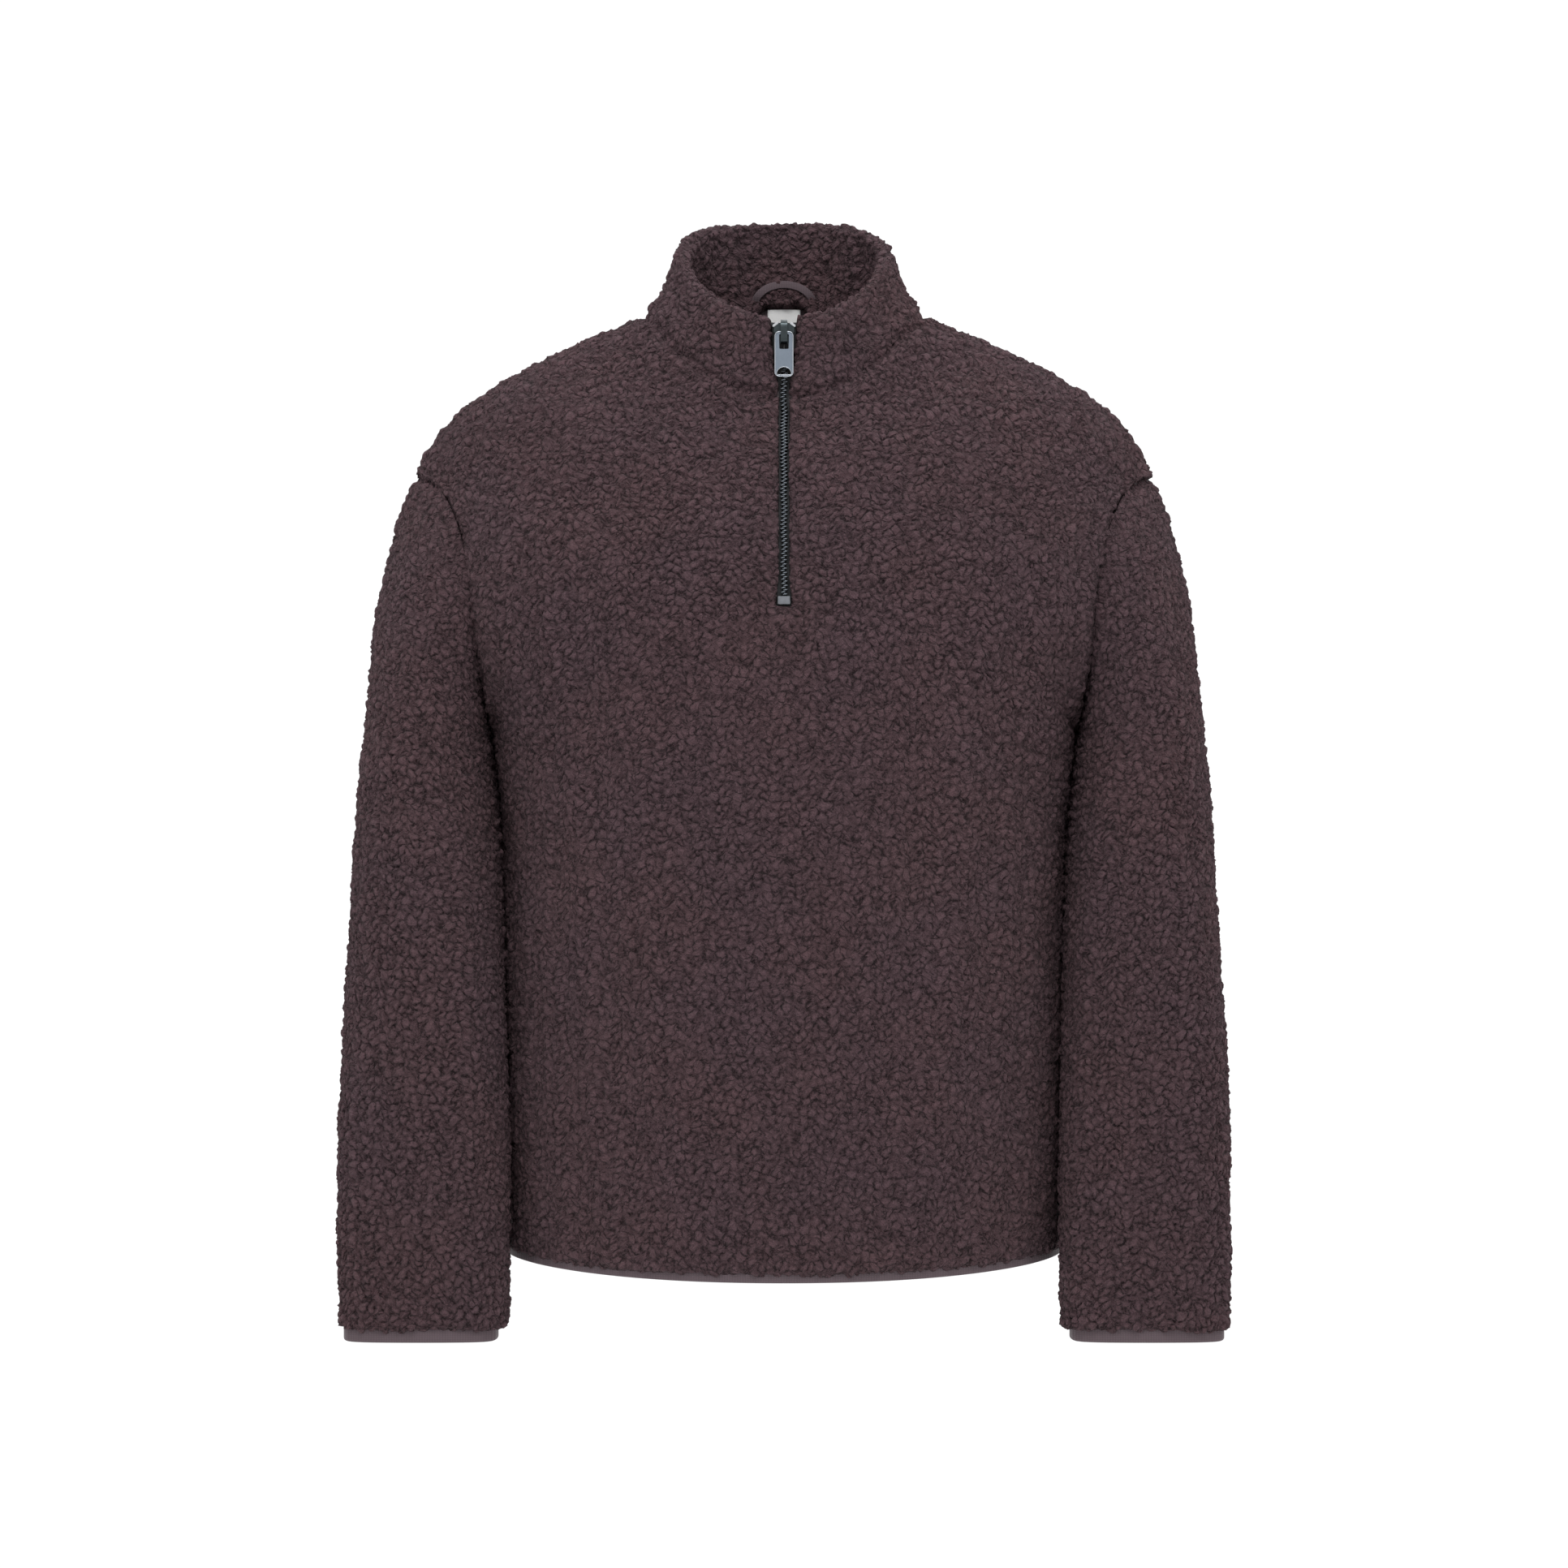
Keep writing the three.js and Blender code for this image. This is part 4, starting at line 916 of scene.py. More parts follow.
def panel(half, settings):
    """Front (half -1) or back (half 1): a fine grid over its left half, evenly spaced by length, mirrored
    to the right. Seams sink by bells, free edges round off by quarter circles, and pile rises on it all."""
    front = half < 0
    spacing = settings.spacing / METRES

    def rows_between(low, high):
        rows = np.linspace(low, high, ROW_STEPS * (high - low) + 1)
        lines = [smooth_point(rows, half, t) for t in (0.02, 1.0)]
        steps = np.max([np.linalg.norm(np.diff(line, axis=0), axis=-1) for line in lines], axis=0)
        length = np.concatenate([[0], np.cumsum(steps)])
        return even_steps(length, rows, whole_cells(length[-1], spacing))

    below = rows_between(0, ZIP_END_ROW)
    rows = np.concatenate([below[:-1], rows_between(ZIP_END_ROW, NECK_ROW)])
    slit_row = len(below) - 1
    parting = np.interp(rows, [ZIP_END_ROW - SLIT_OPENS, ZIP_END_ROW], [spacing / 2, ZIP_GAP["half"][0]])
    gap = np.where(rows < ZIP_END_ROW, parting, curve(ZIP_GAP, "half", rows))
    start = turn_at(rows, gap) if front else 0 * rows
    fine = start[:, None] + (1 - start[:, None]) * np.linspace(0, 1, 81)
    lengths = reach_from(smooth_point(rows[:, None], half, fine), 1)
    count = whole_cells(lengths[:, -1].max(), spacing)
    turn = np.stack([even_steps(*line, count) for line in zip(lengths, fine)])
    turn[:, -1] = 1
    left = smooth_point(rows[:, None], half, turn)
    mirror = np.array([-1, 1, 1])

    def mirrored(values, flip=1):
        """The left half's values, with their mirror image before them."""
        return np.concatenate([(values * flip)[:, ::-1], values if front else values[:, 1:]], 1)

    base = mirrored(left, mirror)
    sunk, creased = mirrored(fold_depth(left, half)), mirrored(fold_depth(left, half, CREASES))
    normals = grid_normals(base, -half)
    if not front:
        normals[:, count, 0] = 0

    in_arm = (rows > UNDERARM_ROW) & (rows < SHOULDER_ROW)
    arm_turn = armhole_turn(np.clip(rows, UNDERARM_ROW, SHOULDER_ROW), half)
    at_edge = np.where(in_arm[:, None], armhole_normal(arm_turn), seam_normal(rows))
    right = base[..., :1] < 0
    from_side = mirrored(reach_from(left, 1, back=True))
    normals = turned_to(normals, np.where(right, (at_edge * mirror)[:, None], at_edge[:, None]), from_side)
    inner = base - normals * (FLEECE + sunk)[..., None]

    from_hem, at_rows = reach_from(base, 0), rows[:, None]
    down = sunk + creased + bell(from_side, np.interp(at_rows, SEAM_ROWS, SEAM_DEPTHS), SIDE_SEAM_WIDE)
    down += lip(from_hem, EDGE_ROUND) + collar_seam(reach_from(base, 0, back=True))
    fuller = bell(from_side - SIDE_FULL_OFF, SIDE_FULL, SIDE_FULL_WIDE)
    down -= fuller * np.interp(at_rows, SIDE_ROWS, SIDE_SHARES)
    for puff in PUFFS:
        over_rows = bell(at_rows - puff["row"], puff["high"], puff["rows"])
        down -= over_rows * bell(from_side - puff["off"], 1, puff["wide"])
    if front:
        rounded = np.clip((at_rows - ZIP_END_ROW) / SLIT_FADE + 1, 0, 1)
        down += lip(mirrored(reach_from(left, 1)), SLIT_ROUND) * rounded
    sideways = np.gradient(base, axis=1) * np.where(right, -1, 1)
    shaped = lapped(base - normals * down[..., None], sideways, from_side)
    shaped[..., 2] -= bell(from_hem, HEM_OVER, HEM_OVER_WIDE)
    outer, where = piled(shaped, grid_normals(shaped, -half), settings, 11 if front else 23)

    kept_rows = np.arange(0, len(rows), EVERY)
    kept = np.arange(0, count + 1, EVERY)
    columns = np.concatenate([kept, kept + count + 1]) if front else np.arange(0, 2 * count + 1, EVERY)
    parts = wall(outer, inner[np.ix_(kept_rows, columns)], kept_rows, columns,
                 slot=(slit_row, count) if front else None)
    return parts, where


def sleeve_wall(x_sign, settings):
    """A tube from the armhole to the cuff. Columns follow the turn, and rows share its outer length."""
    spacing = settings.spacing / METRES * SLEEVE_FINER
    rows = np.linspace(0, CUFF_ROW, ROW_STEPS * CUFF_ROW + 1)
    length = reach_from(sleeve_point(rows, 0.0)[None], 1)[0]
    rows = even_steps(length, rows, whole_cells(length[-1], spacing))
    around = whole_cells(SLEEVE_ROUND, spacing)
    turn = np.arange(around) * 2 * math.pi / around
    turn = np.where(turn > math.pi, turn - 2 * math.pi, turn)
    left = sleeve_point(rows[:, None], turn[None])
    from_arm, from_cuff = reach_from(left, 0), reach_from(left, 0, back=True)
    normals = turned_to(grid_normals(left, 1, around=True), armhole_normal(turn)[None], from_arm)
    inner = left - normals * FLEECE
    at_top = np.clip(np.cos(turn), 0, 1)[None] ** 3
    beside_body = np.clip(-np.cos(turn), 0, 1)[None] ** 2
    down = bell(from_arm, SLEEVE_SEAM_DEEP + SLEEVE_HEAD_DEEP * at_top, SLEEVE_SEAM_WIDE)
    down += lip(from_cuff, EDGE_ROUND)
    down -= SLEEVE_NEARER * beside_body * np.clip((from_arm - NEARER_FROM) / NEARER_OVER, 0, 1)
    shaped = lapped(left - normals * down[..., None], -np.gradient(left, axis=0), from_arm)
    side = np.array([x_sign, 1, 1])
    shaped, inner = shaped * side, inner * side
    outer, where = piled(shaped, grid_normals(shaped, x_sign, around=True), settings, 37 + x_sign)
    kept_rows, columns = np.arange(0, len(rows), EVERY), np.arange(0, around, EVERY)
    parts = wall(outer, inner[np.ix_(kept_rows, columns)], kept_rows, columns, around=True)
    return parts, where


def collar_wall(settings):
    """Collar folded over its rim: up the outside, over a half circle across both layers, and down the
    inside. Its hidden skin follows one fleece thickness in, and the tapes lie between the layers."""
    spacing = settings.spacing / METRES * COLLAR_FINER
    there = np.linspace(0, 1, whole_cells(COLLAR_HALF, spacing) // 2 + 1)
    quarters = [(-1, -1, there), (1, -1, there[::-1]), (1, 1, there), (-1, 1, there[::-1])]

    def surface(rows):
        """Points and normals of the pile's surface at the rows, from one side of the zip to the other."""
        points, normals = [], []
        for half, x_sign, shares in quarters:
            start = turn_at(rows, curve(ZIP_GAP, "half", rows))[:, None] if half < 0 else 0
            turn = start + (1 - start) * shares[None]
            side = np.array([x_sign, 1, 1])
            out = body_normal(rows[:, None] + 0 * turn, half, turn)
            out = np.where((turn > 0.999)[..., None], seam_normal(rows)[:, None], out)
            first = 1 if points else 0  # later quarters share their first column with the one before
            points.append((smooth_point(rows[:, None], half, turn) * side)[:, first:])
            normals.append((out * side)[:, first:])
        return np.concatenate(points, 1), np.concatenate(normals, 1)

    points, normals = surface(np.linspace(NECK_ROW - COLLAR_START, TOP_ROW, 66))
    length = reach_from(points, 0)
    radius = COLLAR_THICK / 2
    top = length[-1] - radius  # where the rim's half circle starts, for each column
    up_at = np.linspace(0, 1, COLLAR_CELLS + 1)[:, None] * top[None]

    def sample(field):
        """The field at those lengths up each column."""
        return np.stack([[np.interp(up_at[:, j], length[:, j], field[:, j, k]) for k in range(3)]
                         for j in range(field.shape[1])]).transpose(2, 0, 1)

    base, out = sample(points), unit(sample(normals))
    up = unit(base[-1] - base[-3])
    out_top = unit(out[-1] - up * np.sum(out[-1] * up, -1, keepdims=True))
    arc = np.linspace(0, math.pi, RIM_CELLS + 1)[1:-1, None, None]

    def folded(first, second):
        """Up at depth first, over the rim, and down at depth second."""
        middle = base[-1] - out_top * radius
        r = (second - first) / 2
        over = middle + r * (np.cos(arc) * out_top + np.sin(arc) * up)
        return np.concatenate([base - out * first, over, (base - out * second)[::-1]])

    skin, hidden = folded(0, COLLAR_THICK), folded(FLEECE, FACING_DEPTH)
    from_low, from_end = reach_from(skin, 0), reach_from(skin, 0, back=True)
    from_zip = [reach_from(skin, 1), reach_from(skin, 1, back=True)]
    down = collar_seam(from_low) + lip(from_end, FACING_ROUND)
    down += sum(lip(way, SLIT_ROUND) for way in from_zip)
    shaped = skin - grid_normals(skin, -1) * down[..., None]
    high = np.clip((skin[..., 2] - skin[0, :, 2]) / np.ptp(skin[..., 2], axis=0), 0, 1)
    shaped[..., 2] += bell(np.minimum(*from_zip), RIM_RISE, RIM_RISE_WIDE) * high ** 2
    beside = np.clip((np.abs(skin[..., 0]) - LABEL_WIDE / 2 - LABEL_CLEAR) / LABEL_FADE, 0, 1)
    shaped[..., 2] += bell(from_end, 1, FACING_WIDE) * (FACING_RAISED - FACING_LONGER * beside)
    outer, where = piled(shaped, grid_normals(shaped, -1), settings, 51)
    rows, kept = np.arange(0, len(skin), EVERY), np.arange(0, skin.shape[1], EVERY)
    parts = wall(outer, hidden[np.ix_(rows, kept)], rows, kept)
    return parts, where


def binding_object(name, edge, tall, node_name):
    """Jersey folded round a raw edge: a strip with round corners carried round the edge, its outside level
    with the inset and its foot the fold. Fine puckers from the stitching run along it."""
    level = edge(BINDING_INSET + BINDING / 2)
    out = unit(edge(BINDING_INSET) - level)
    out[:, 2] = 0
    out = unit(out)
    profile = rounded_strip(BINDING, tall + BINDING_HELD, BINDING_CORNER, 5)
    profile[:, 1] -= SEAM + (tall - BINDING_HELD) / 2
    points = carried(profile, level, out, np.broadcast_to([0, 0, 1.0], level.shape))
    pucker = PUCKER_HIGH * np.sin(reach_from(level[None], 1)[0] * 2 * math.pi / PUCKER_LONG)[:, None, None]
    outer_side = np.clip(profile[:, 0], 0, None)[None, :, None] / BINDING
    points = points + out[:, None] * pucker * outer_side
    faces = tube_faces(*points.shape[:2], True)
    points = points.reshape(-1, 3)
    made = new_object(name, points, outward(points, [faces]), [jersey_finish()])
    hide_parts(node_name)
    return made


def hem_edge(inset):
    """Points round the hem, inset from the pile's surface."""
    turns = np.linspace(0, 1, 101)
    there, home = turns[1:], turns[-2::-1]
    quarters = [(-1, 1, there), (1, 1, home), (1, -1, there), (-1, -1, home)]
    return np.concatenate([body_point(0.0, half, side, turn, inset) for half, side, turn in quarters])


def cuff_edge(x_sign):
    """Points round a cuff, at one height, inset from the pile's surface."""
    count = 144

    def edge(inset):
        turn = np.arange(count) * 2 * math.pi / count
        out = outwards(sleeve_point, CUFF_ROW + 0 * turn, turn, CUFF_ROW, 1)
        points = sleeve_point(CUFF_ROW + 0 * turn, turn) - out * inset
        points[:, 2] = curve(SLEEVE, "outZ", CUFF_ROW)
        return points * np.array([x_sign, 1, 1])

    return edge


def tape_object(side):
    """A zip tape: a thin strip behind the front, from its middle to its outer edge."""
    count, columns = 121, 9
    rows = np.linspace(ZIP_END_ROW - TAPE_TAIL, TOP_ROW - TAPE_SHORT, count)[:, None]
    inside = curve(TAPE_PART, "half", rows)
    x = inside + (TAPE_WIDE - inside) * np.linspace(0, 1, columns)
    rows = np.broadcast_to(rows, x.shape)
    turn = turn_at(rows, x)
    layers = [body_point(rows, -1, side, turn, depth) for depth in (TAPE_DEPTH, TAPE_DEPTH + TAPE)]
    points, faces, _ = wall(*layers, np.arange(count), np.arange(columns))
    word = "left" if side > 0 else "right"
    cloth = finish("tape", woven, "woven_zip_tape", "17181a", 0.9)
    made = new_object(f"zip_tape_{word}_woven", points, faces, [cloth])
    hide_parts(f"zip_tape_{word}")


def end_caps(columns, last, poles):
    """Triangles from a tube's first ring and from its last one, which starts at last, to the two poles."""
    ring = np.arange(columns)
    after = (ring + 1) % columns
    return np.concatenate([np.stack([np.full(columns, poles), after, ring], -1),
                           np.stack([np.full(columns, poles + 1), last + ring, last + after], -1)])


def blob(half_sizes, power=0.55, rings=6, around=8):
    """A rounded block about its middle: an ellipsoid whose sines and cosines are raised to a power."""
    up = np.linspace(-QUARTER, QUARTER, rings)[1:-1, None]
    turn = np.arange(around)[None] * 2 * math.pi / around

    def raised(values):
        return np.sign(values) * np.abs(values) ** power

    grid = np.stack(np.broadcast_arrays(
        raised(np.cos(up)) * raised(np.cos(turn)), raised(np.cos(up)) * raised(np.sin(turn)),
        raised(np.sin(up)),
    ), -1).reshape(-1, 3)
    points = np.concatenate([grid, [[0, 0, -1], [0, 0, 1]]]) * half_sizes
    caps = end_caps(around, (rings - 3) * around, len(grid))
    return points, outward(points, [tube_faces(rings - 2, around, False), caps])


def copies(shape, frames):
    """Copies of a shape, each in its own frame of origin, across, up and out."""
    points, faces = shape
    origins, across, up, out = frames
    placed = (origins[:, None] + points[None, :, :1] * across[:, None] + points[None, :, 1:2] * up[:, None]
              + points[None, :, 2:] * out[:, None])
    shift = np.arange(len(origins))[:, None, None] * len(points)
    return placed.reshape(-1, 3), [(f[None] + shift).reshape(-1, f.shape[1]) for f in faces]


def teeth_object():
    """Zip teeth: rounded metal bars, alternately from the left and the right tape, whose heads cross the
    middle. They follow the front's centre line, and sway from side to side by a third of a millimetre."""
    settings = bpy.context.scene.pullover_zip
    pitch, half_sizes = settings.pitch / METRES, np.array(settings.tooth) / METRES
    stop_top = curve(CENTRE, "zFront", ZIP_END_ROW) + STOP_START + STOP_TALL
    slider_foot = SLIDER_TOP - SLIDER_LONG
    rows = np.linspace(row_at_height(stop_top + SEAM), row_at_height(slider_foot - SEAM - CHAIN_CLEAR), 400)
    line = smooth_point(rows, -1, 0.0)
    length = reach_from(line[None], 1)[0]
    count = int((length[-1] - pitch / 2) / (pitch / 2))
    at = np.interp(pitch / 4 + np.arange(count) * pitch / 2, length, rows)
    origin, across, up, out = zip_frame(curve(CENTRE, "zFront", at))
    side = np.where(np.arange(count) % 2 == 0, 1.0, -1.0)
    aside = side * TOOTH_OFF + TOOTH_SWAY * np.sin(np.arange(count) * pitch / 2 / SWAY_LONG * 2 * math.pi)
    middle = origin + across * aside[:, None] - out * ((CHAIN_FRONT + CHAIN_BACK) / 2 - TOOTH_FORWARD)
    tilted = unit(across + up * TOOTH_SLANT)
    points, faces = copies(blob(half_sizes), (middle, tilted, np.cross(out, tilted), out))
    nickel = finish("teeth", metal, "black_nickel_teeth", "595d62", 0.26)
    made = new_object("zip_teeth", points, faces, [nickel])
    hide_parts("zip_chain")


def polished_rim(name, outline, radius, frame_of_tab):
    """A thin round bead along a closed outline on the pull tab's front face."""
    origin, across, up, out = frame_of_tab
    line = origin + outline[:, :1] * across + outline[:, 1:] * up + out * (TAB_THICK / 2)
    ahead = unit(np.roll(line, -1, 0) - np.roll(line, 1, 0))
    sideways = np.cross(ahead, out)
    turns = np.arange(8) * math.pi / 4
    profile = radius * np.stack([np.cos(turns), np.sin(turns)], -1)
    points = carried(profile, line, sideways, np.broadcast_to(out, line.shape)).reshape(-1, 3)
    faces = outward(points, [tube_faces(len(line), len(turns), True)])
    nickel = finish("polished", metal, "polished_nickel", "9da1a7", 0.2)
    made = new_object(name, points, faces, [nickel], body="pull_tab")


def rounded_outline(left, bottom, right, top, corner, steps=7):
    """Closed outline of a rectangle with quarter circles at its corners."""
    middle = np.array([left + right, bottom + top]) / 2
    return middle + rounded_strip(right - left, top - bottom, corner, steps)


def tab_frame():
    """Origin and axes of the pull tab, which leans back to the pile about the pivot."""
    _, across, up, out = zip_frame(SLIDER_TOP - PIVOT_DROP)
    origin = np.array(frame["joints"][0]["pos_m"]) / METRES
    lean_up = up * math.cos(TAB_LEAN) - out * math.sin(TAB_LEAN)
    lean_out = out * math.cos(TAB_LEAN) + up * math.sin(TAB_LEAN)
    return origin, across, lean_up, lean_out


def on_back(row, x, depth):
    """Points of the back at a row, x from its centre line and depth below the pile's surface."""
    turn = np.arcsin(np.abs(x) / edge_point(row, 1)[..., 0]) / QUARTER
    return body_point(row, 1, np.where(x < 0, -1.0, 1.0), turn, depth)


def label_object():
    """Woven label: a thin sheet that hangs from the collar seam inside the back and follows its curve."""
    count, columns = 25, 19
    climb = curve(CENTRE, "zBack", NECK_ROW) - curve(CENTRE, "zBack", NECK_ROW - 1)
    rows = NECK_ROW + LABEL_START - LABEL_TALL / climb * np.linspace(1, 0, count)
    rows, x = np.meshgrid(rows, np.linspace(-0.5, 0.5, columns) * LABEL_WIDE, indexing="ij")
    near = FLEECE + LAYER_GAP
    layers = [on_back(rows, x, depth) for depth in (near + LABEL, near)]
    points, faces, _ = wall(*layers, np.arange(count), np.arange(columns))
    satin = finish("label", woven, "satin_woven_label", "f8f8f6", 0.3, 0.6, 0.9)
    made = new_object("neck_label_woven", points, faces, [satin])
    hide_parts("neck_label")


def loop_object():
    """Hanging loop: a flat strip of folded jersey carried along a half ellipse on the collar's inside."""
    climb = curve(CENTRE, "zBack", NECK_ROW + 1) - curve(CENTRE, "zBack", NECK_ROW)
    angle = np.linspace(0, math.pi, 61)

    def on_facing(shrink, depth):
        row = NECK_ROW + LOOP_START + (LOOP_TALL - shrink) * np.sin(angle) / climb
        return on_back(row, -(LOOP_SPAN - shrink) * np.cos(angle), depth)

    near = FACING_DEPTH + FLEECE + LAYER_GAP - bell(np.sin(angle), LOOP_SUNK, LOOP_SUNK_WIDE)
    middle = on_facing(LOOP_WIDE / 2, near + LOOP / 2)
    wide = unit(on_facing(0, near + LOOP / 2) - on_facing(LOOP_WIDE, near + LOOP / 2))
    thick = unit(on_facing(LOOP_WIDE / 2, near + LOOP) - on_facing(LOOP_WIDE / 2, near))
    grid = carried(rounded_strip(LOOP_WIDE, LOOP, LOOP_CORNER), middle, wide, thick)
    rows, columns = grid.shape[:2]
    points = np.concatenate([grid.reshape(-1, 3), grid[[0, -1]].mean(1)])
    caps = end_caps(columns, (rows - 1) * columns, rows * columns)
    faces = outward(points, [tube_faces(rows, columns, False), caps])
    made = new_object("hanging_loop_jersey", points, faces, [jersey_finish()])
    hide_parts("hanging_loop")


def eased(name, material, width):
    """Gives a metal node its finish and softens its edges: loose triangles are welded, then bevelled."""
    piece = frame["nodes"][name]
    piece.data.materials.clear()
    piece.data.materials.append(material)
    weld = piece.modifiers.new("weld", "WELD")
    weld.merge_threshold = 0.00001
    bevel = piece.modifiers.new("bevel", "BEVEL")
    bevel.width, bevel.segments, bevel.limit_method = width * METRES, 2, "ANGLE"
    bevel.angle_limit = math.radians(35)


# Operators

class PULLOVER_OT_panels(bpy.types.Operator):
    """Make the front and back panels of sherpa fleece"""
    bl_idname = "pullover.panels"
    bl_label = "Front and back"

    def execute(self, context):
        for half, word in ((-1, "front"), (1, "back")):
            parts, where = panel(half, context.scene.pullover_pile)
            fleece_piece(f"{word}_pile", parts, where, [word],
                         fleece_finishes())
        return {"FINISHED"}


class PULLOVER_OT_sleeves(bpy.types.Operator):
    """Make both sleeves of sherpa fleece"""
    bl_idname = "pullover.sleeves"
    bl_label = "Sleeves"

    def execute(self, context):
        for side, word in ((1, "left"), (-1, "right")):
            parts, where = sleeve_wall(side, context.scene.pullover_pile)
            fleece_piece(f"sleeve_{word}_pile", parts, where, [f"sleeve_{word}"],
                         fleece_finishes())
        return {"FINISHED"}


class PULLOVER_OT_collar(bpy.types.Operator):
    """Make the stand collar, folded over its rim from the outside to the inside"""
    bl_idname = "pullover.collar"
    bl_label = "Collar"

    def execute(self, context):
        parts, where = collar_wall(context.scene.pullover_pile)
        fleece_piece("collar_pile", parts, where, ["collar_outer", "collar_facing"],
                     fleece_finishes())
        return {"FINISHED"}


class PULLOVER_OT_bindings(bpy.types.Operator):
    """Make the jersey bindings of the hem and the cuffs"""
    bl_idname = "pullover.bindings"
    bl_label = "Bindings"

    def execute(self, context):
        binding_object("hem_binding_jersey", hem_edge, HEM_BINDING_TALL, "hem_binding")
        for side, word in ((1, "left"), (-1, "right")):
            binding_object(f"cuff_binding_{word}_jersey", cuff_edge(side), CUFF_BINDING_TALL,
                           f"cuff_binding_{word}")
        return {"FINISHED"}


class PULLOVER_OT_zip(bpy.types.Operator):
    """Make the zip: its woven tapes, its teeth and its stops"""
    bl_idname = "pullover.zip"
    bl_label = "Zip"

    def execute(self, context):
        for side in (1, -1):
            tape_object(side)
        teeth_object()
        eased("zip_bottom_stop", finish("bottom_stop", metal, "dull_aluminium", "75777c", 0.4), 0.3)
        for name in ("zip_top_stop_left", "zip_top_stop_right"):
            eased(name, finish("top_stop", metal, "bright_aluminium", "b9bbbf", 0.3), 0.3)
        return {"FINISHED"}


class PULLOVER_OT_slider(bpy.types.Operator):
    """Finish the zip's slider and pull tab"""
    bl_idname = "pullover.slider"
    bl_label = "Slider and pull tab"

    def execute(self, context):
        eased("zip_slider", finish("slider", metal, "gunmetal_plated_slider", "3c4244", 0.34), 0.35)
        eased("zip_pull_tab", finish("tab", metal, "brushed_gunmetal_tab", "6a727c", 0.42, 0.35), 0.2)
        radius = context.scene.pullover_zip.rim / METRES
        half = TAB_WIDE / 2
        edge = rounded_outline(-half + radius, -TAB_LONG + radius, half - radius, TAB_LIP / 2 - radius,
                               TAB_CORNER - radius)
        polished_rim("pull_tab_rim", edge, radius, tab_frame())
        turns = np.linspace(0, math.pi, 17)
        thin = radius * EYE_RIM_SHARE
        grown = EYE_RADIUS + thin
        arch = np.stack([grown * np.cos(turns), grown * np.sin(turns) - EYE_CENTRE], -1)
        flat = np.stack([np.linspace(-grown, grown, 8)[1:-1], np.full(6, -EYE_CENTRE - thin)], -1)
        polished_rim("pull_tab_eye_rim", np.concatenate([arch, flat]), thin, tab_frame())
        return {"FINISHED"}


class PULLOVER_OT_neck(bpy.types.Operator):
    """Make the hanging loop and the blank label inside the neck"""
    bl_idname = "pullover.neck"
    bl_label = "Loop and label"

    def execute(self, context):
        loop_object()
        label_object()
        return {"FINISHED"}


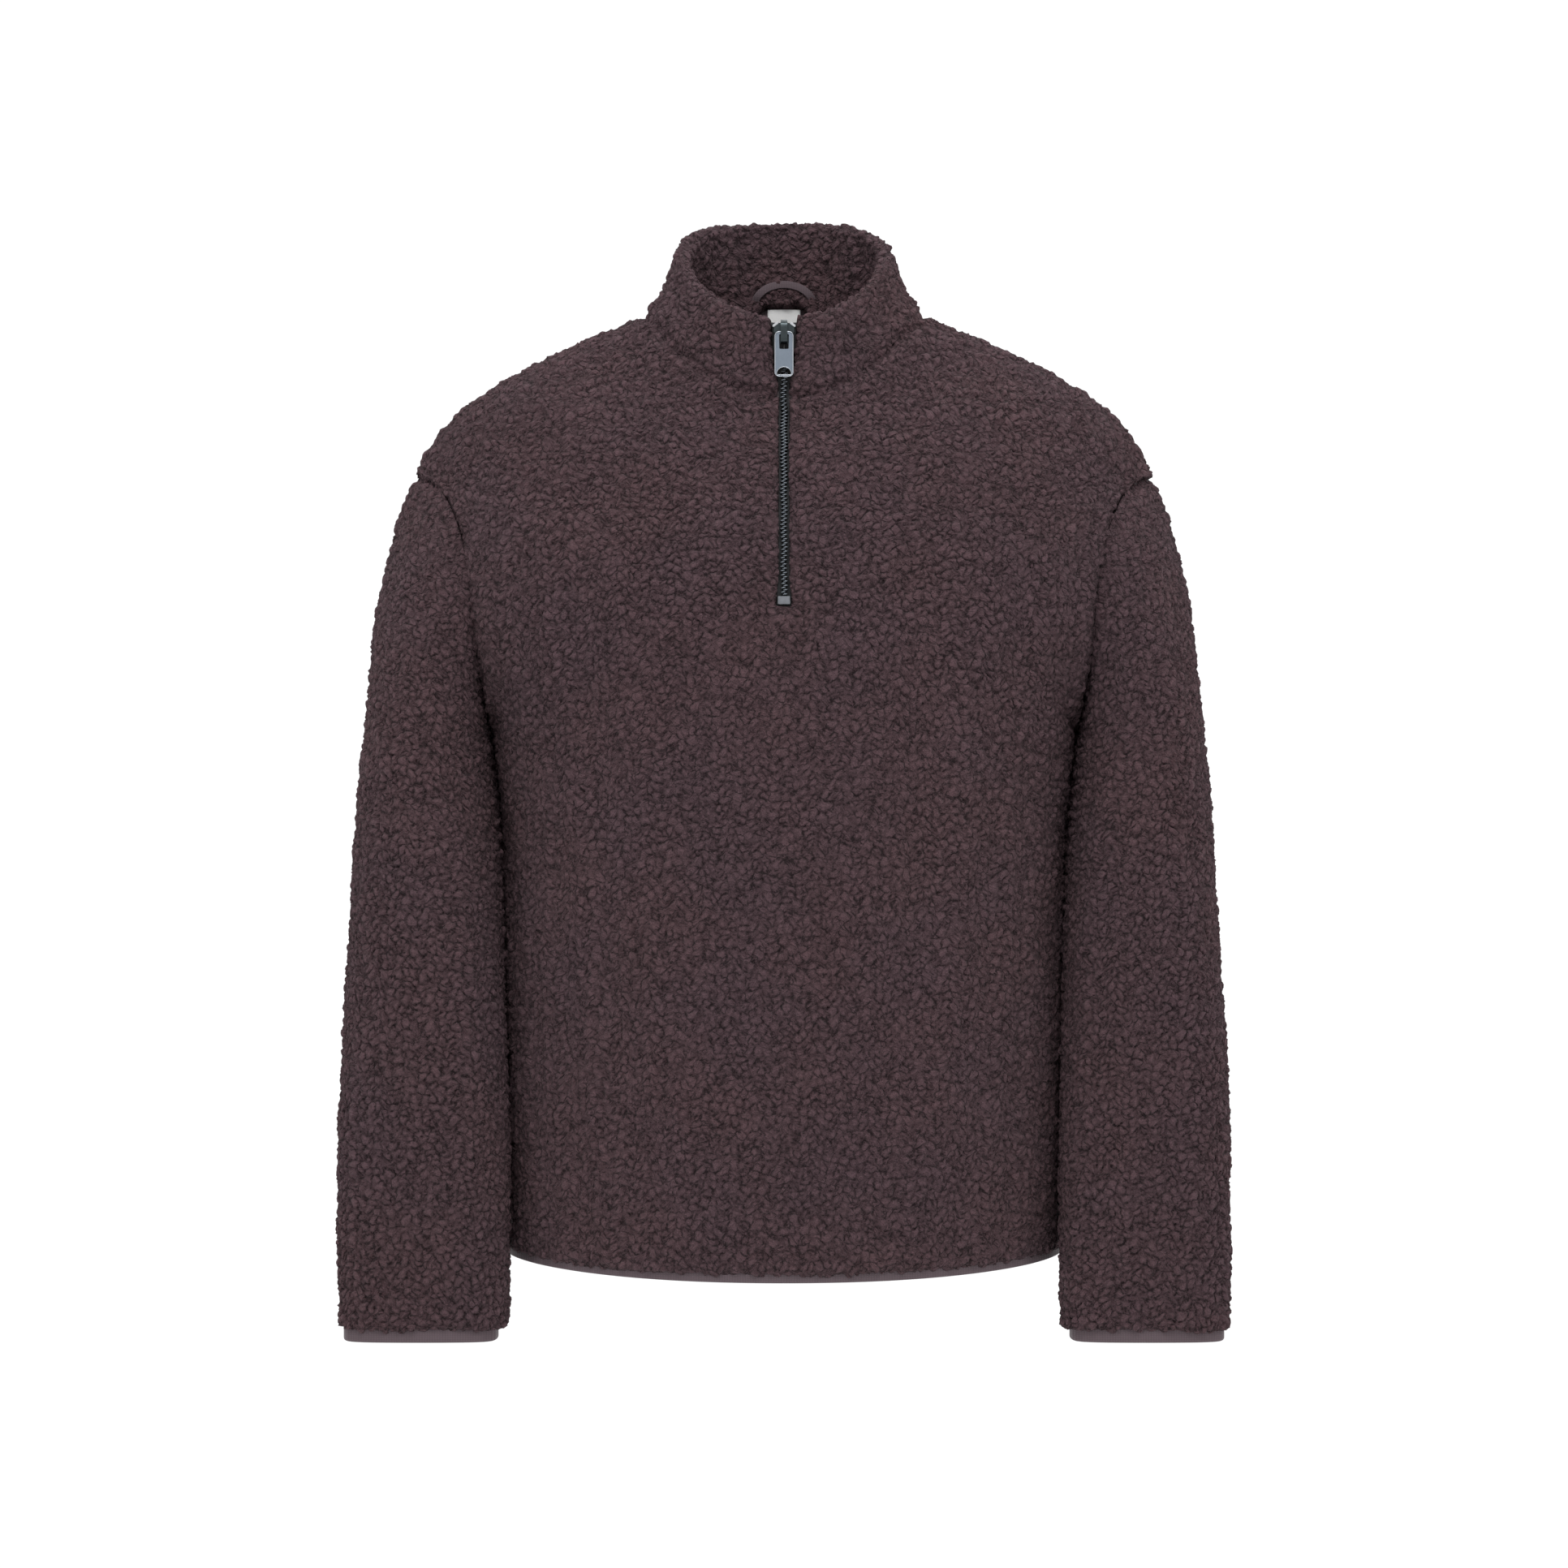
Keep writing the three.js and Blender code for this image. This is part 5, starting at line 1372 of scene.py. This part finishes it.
class PULLOVER_OT_stage(bpy.types.Operator):
    """Make the pale floor and backdrop, the soft lights and the camera"""
    bl_idname = "pullover.stage"
    bl_label = "Stage"

    def execute(self, context):
        settings = context.scene.pullover_stage
        aim = Vector((0, 0, settings.aim_height))
        camera = bpy.data.cameras.new("camera")
        camera.sensor_fit, camera.sensor_width = "HORIZONTAL", 36
        camera.lens = camera.sensor_width * settings.distance / settings.view_width
        viewer = bpy.data.objects.new("camera", camera)
        back = Vector((0, -math.cos(settings.elevation), math.sin(settings.elevation)))
        viewer.location = aim + back * settings.distance
        viewer.rotation_euler = (-back).to_track_quat("-Z", "Y").to_euler()
        context.scene.collection.objects.link(viewer)
        context.scene.camera = viewer

        # Floor that bends up into a backdrop: a level line, a quarter circle and an upright line
        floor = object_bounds()[0][2] / METRES - FLOOR_BELOW
        turns = np.linspace(-QUARTER, 0, 25)
        bend = FLOOR_BEND * np.stack([np.cos(turns), 1 + np.sin(turns)], -1) + [FLOOR_REACH, 0]
        line = np.concatenate([[[-FLOOR_WIDE, 0]], bend, [[FLOOR_REACH + FLOOR_BEND, BACKDROP_TALL]]])
        points = np.stack([np.stack([np.full(len(line), x), line[:, 0], line[:, 1] + floor], -1)
                           for x in (-FLOOR_WIDE, FLOOR_WIDE)], 1)
        ids = np.arange(points.shape[0] * 2).reshape(-1, 2)
        faces = np.stack([ids[:-1, 0], ids[:-1, 1], ids[1:, 1], ids[1:, 0]], -1)
        # White paper: even and matt, so that the garment stands free on it
        paper = bpy.data.materials.new("white_paper_backdrop")
        paper.use_nodes = True
        shader = paper.node_tree.nodes["Principled BSDF"]
        shader.inputs["Base Color"].default_value = linear("fafafa")
        shader.inputs["Roughness"].default_value = 0.9
        mesh = bpy.data.meshes.new("backdrop")
        mesh.from_pydata((points.reshape(-1, 3) * METRES).tolist(), [], faces.tolist())
        mesh.materials.append(paper)
        mesh.polygons.foreach_set("use_smooth", np.ones(len(faces), bool))
        backdrop = bpy.data.objects.new("backdrop", mesh)
        context.scene.collection.objects.link(backdrop)
        backdrop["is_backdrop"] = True

        lights = [("key", (0.0, -1.9, 2.1), settings.key, (1.9, 1.3)),
                  ("fill_left", (2.2, -1.4, 0.2), settings.fill, (1.4, 2.0)),
                  ("fill_right", (-2.2, -1.4, 0.2), settings.fill, (1.4, 2.0)),
                  ("hair", (0.0, 1.0, 1.7), settings.fill * 1.6, (2.4, 1.0))]
        for name, place, power, size in lights:
            lamp = bpy.data.lights.new(name, "AREA")
            lamp.shape, lamp.size, lamp.size_y, lamp.energy = "RECTANGLE", *size, power
            holder = bpy.data.objects.new(name, lamp)
            holder.location = place
            beam = aim + Vector((0, 0, LIGHTS_AIM_HIGHER)) - holder.location
            holder.rotation_euler = beam.to_track_quat("-Z", "Y").to_euler()
            context.scene.collection.objects.link(holder)
        world = bpy.data.worlds.new("room")
        world.use_nodes = True
        world.node_tree.nodes["Background"].inputs["Color"].default_value = (1, 1, 1, 1)
        world.node_tree.nodes["Background"].inputs["Strength"].default_value = settings.sky
        context.scene.world = world
        context.scene.view_settings.view_transform = "Standard"
        return {"FINISHED"}


class PULLOVER_PT_panel(bpy.types.Panel):
    """Lists the pullover's pieces and settings."""
    bl_label = "Pullover"
    bl_idname = "PULLOVER_PT_panel"
    bl_space_type = "VIEW_3D"
    bl_region_type = "UI"
    bl_category = "Pullover"

    def draw(self, context):
        for group in SETTINGS:
            for name in group.__annotations__:
                self.layout.prop(getattr(context.scene, SETTINGS[group]), name)
        for operator in OPERATORS:
            self.layout.operator(operator.bl_idname)


SETTINGS = {
    PULLOVER_PG_pile: "pullover_pile", PULLOVER_PG_zip: "pullover_zip", PULLOVER_PG_stage: "pullover_stage",
}
OPERATORS = [
    PULLOVER_OT_panels, PULLOVER_OT_sleeves, PULLOVER_OT_collar, PULLOVER_OT_bindings, PULLOVER_OT_zip,
    PULLOVER_OT_slider, PULLOVER_OT_neck, PULLOVER_OT_stage,
]


def register():
    for group, name in SETTINGS.items():
        bpy.utils.register_class(group)
        setattr(bpy.types.Scene, name, bpy.props.PointerProperty(type=group))
    for operator in OPERATORS:
        bpy.utils.register_class(operator)
    bpy.utils.register_class(PULLOVER_PT_panel)


def unregister():
    bpy.utils.unregister_class(PULLOVER_PT_panel)
    for operator in reversed(OPERATORS):
        bpy.utils.unregister_class(operator)
    for group, name in SETTINGS.items():
        delattr(bpy.types.Scene, name)
        bpy.utils.unregister_class(group)


def main():
    register()
    for operator in OPERATORS:
        family, name = operator.bl_idname.split(".")
        if getattr(getattr(bpy.ops, family), name)() != {"FINISHED"}:
            raise RuntimeError(f"{operator.bl_idname} didn't finish")


if __name__ == "__main__":
    main()
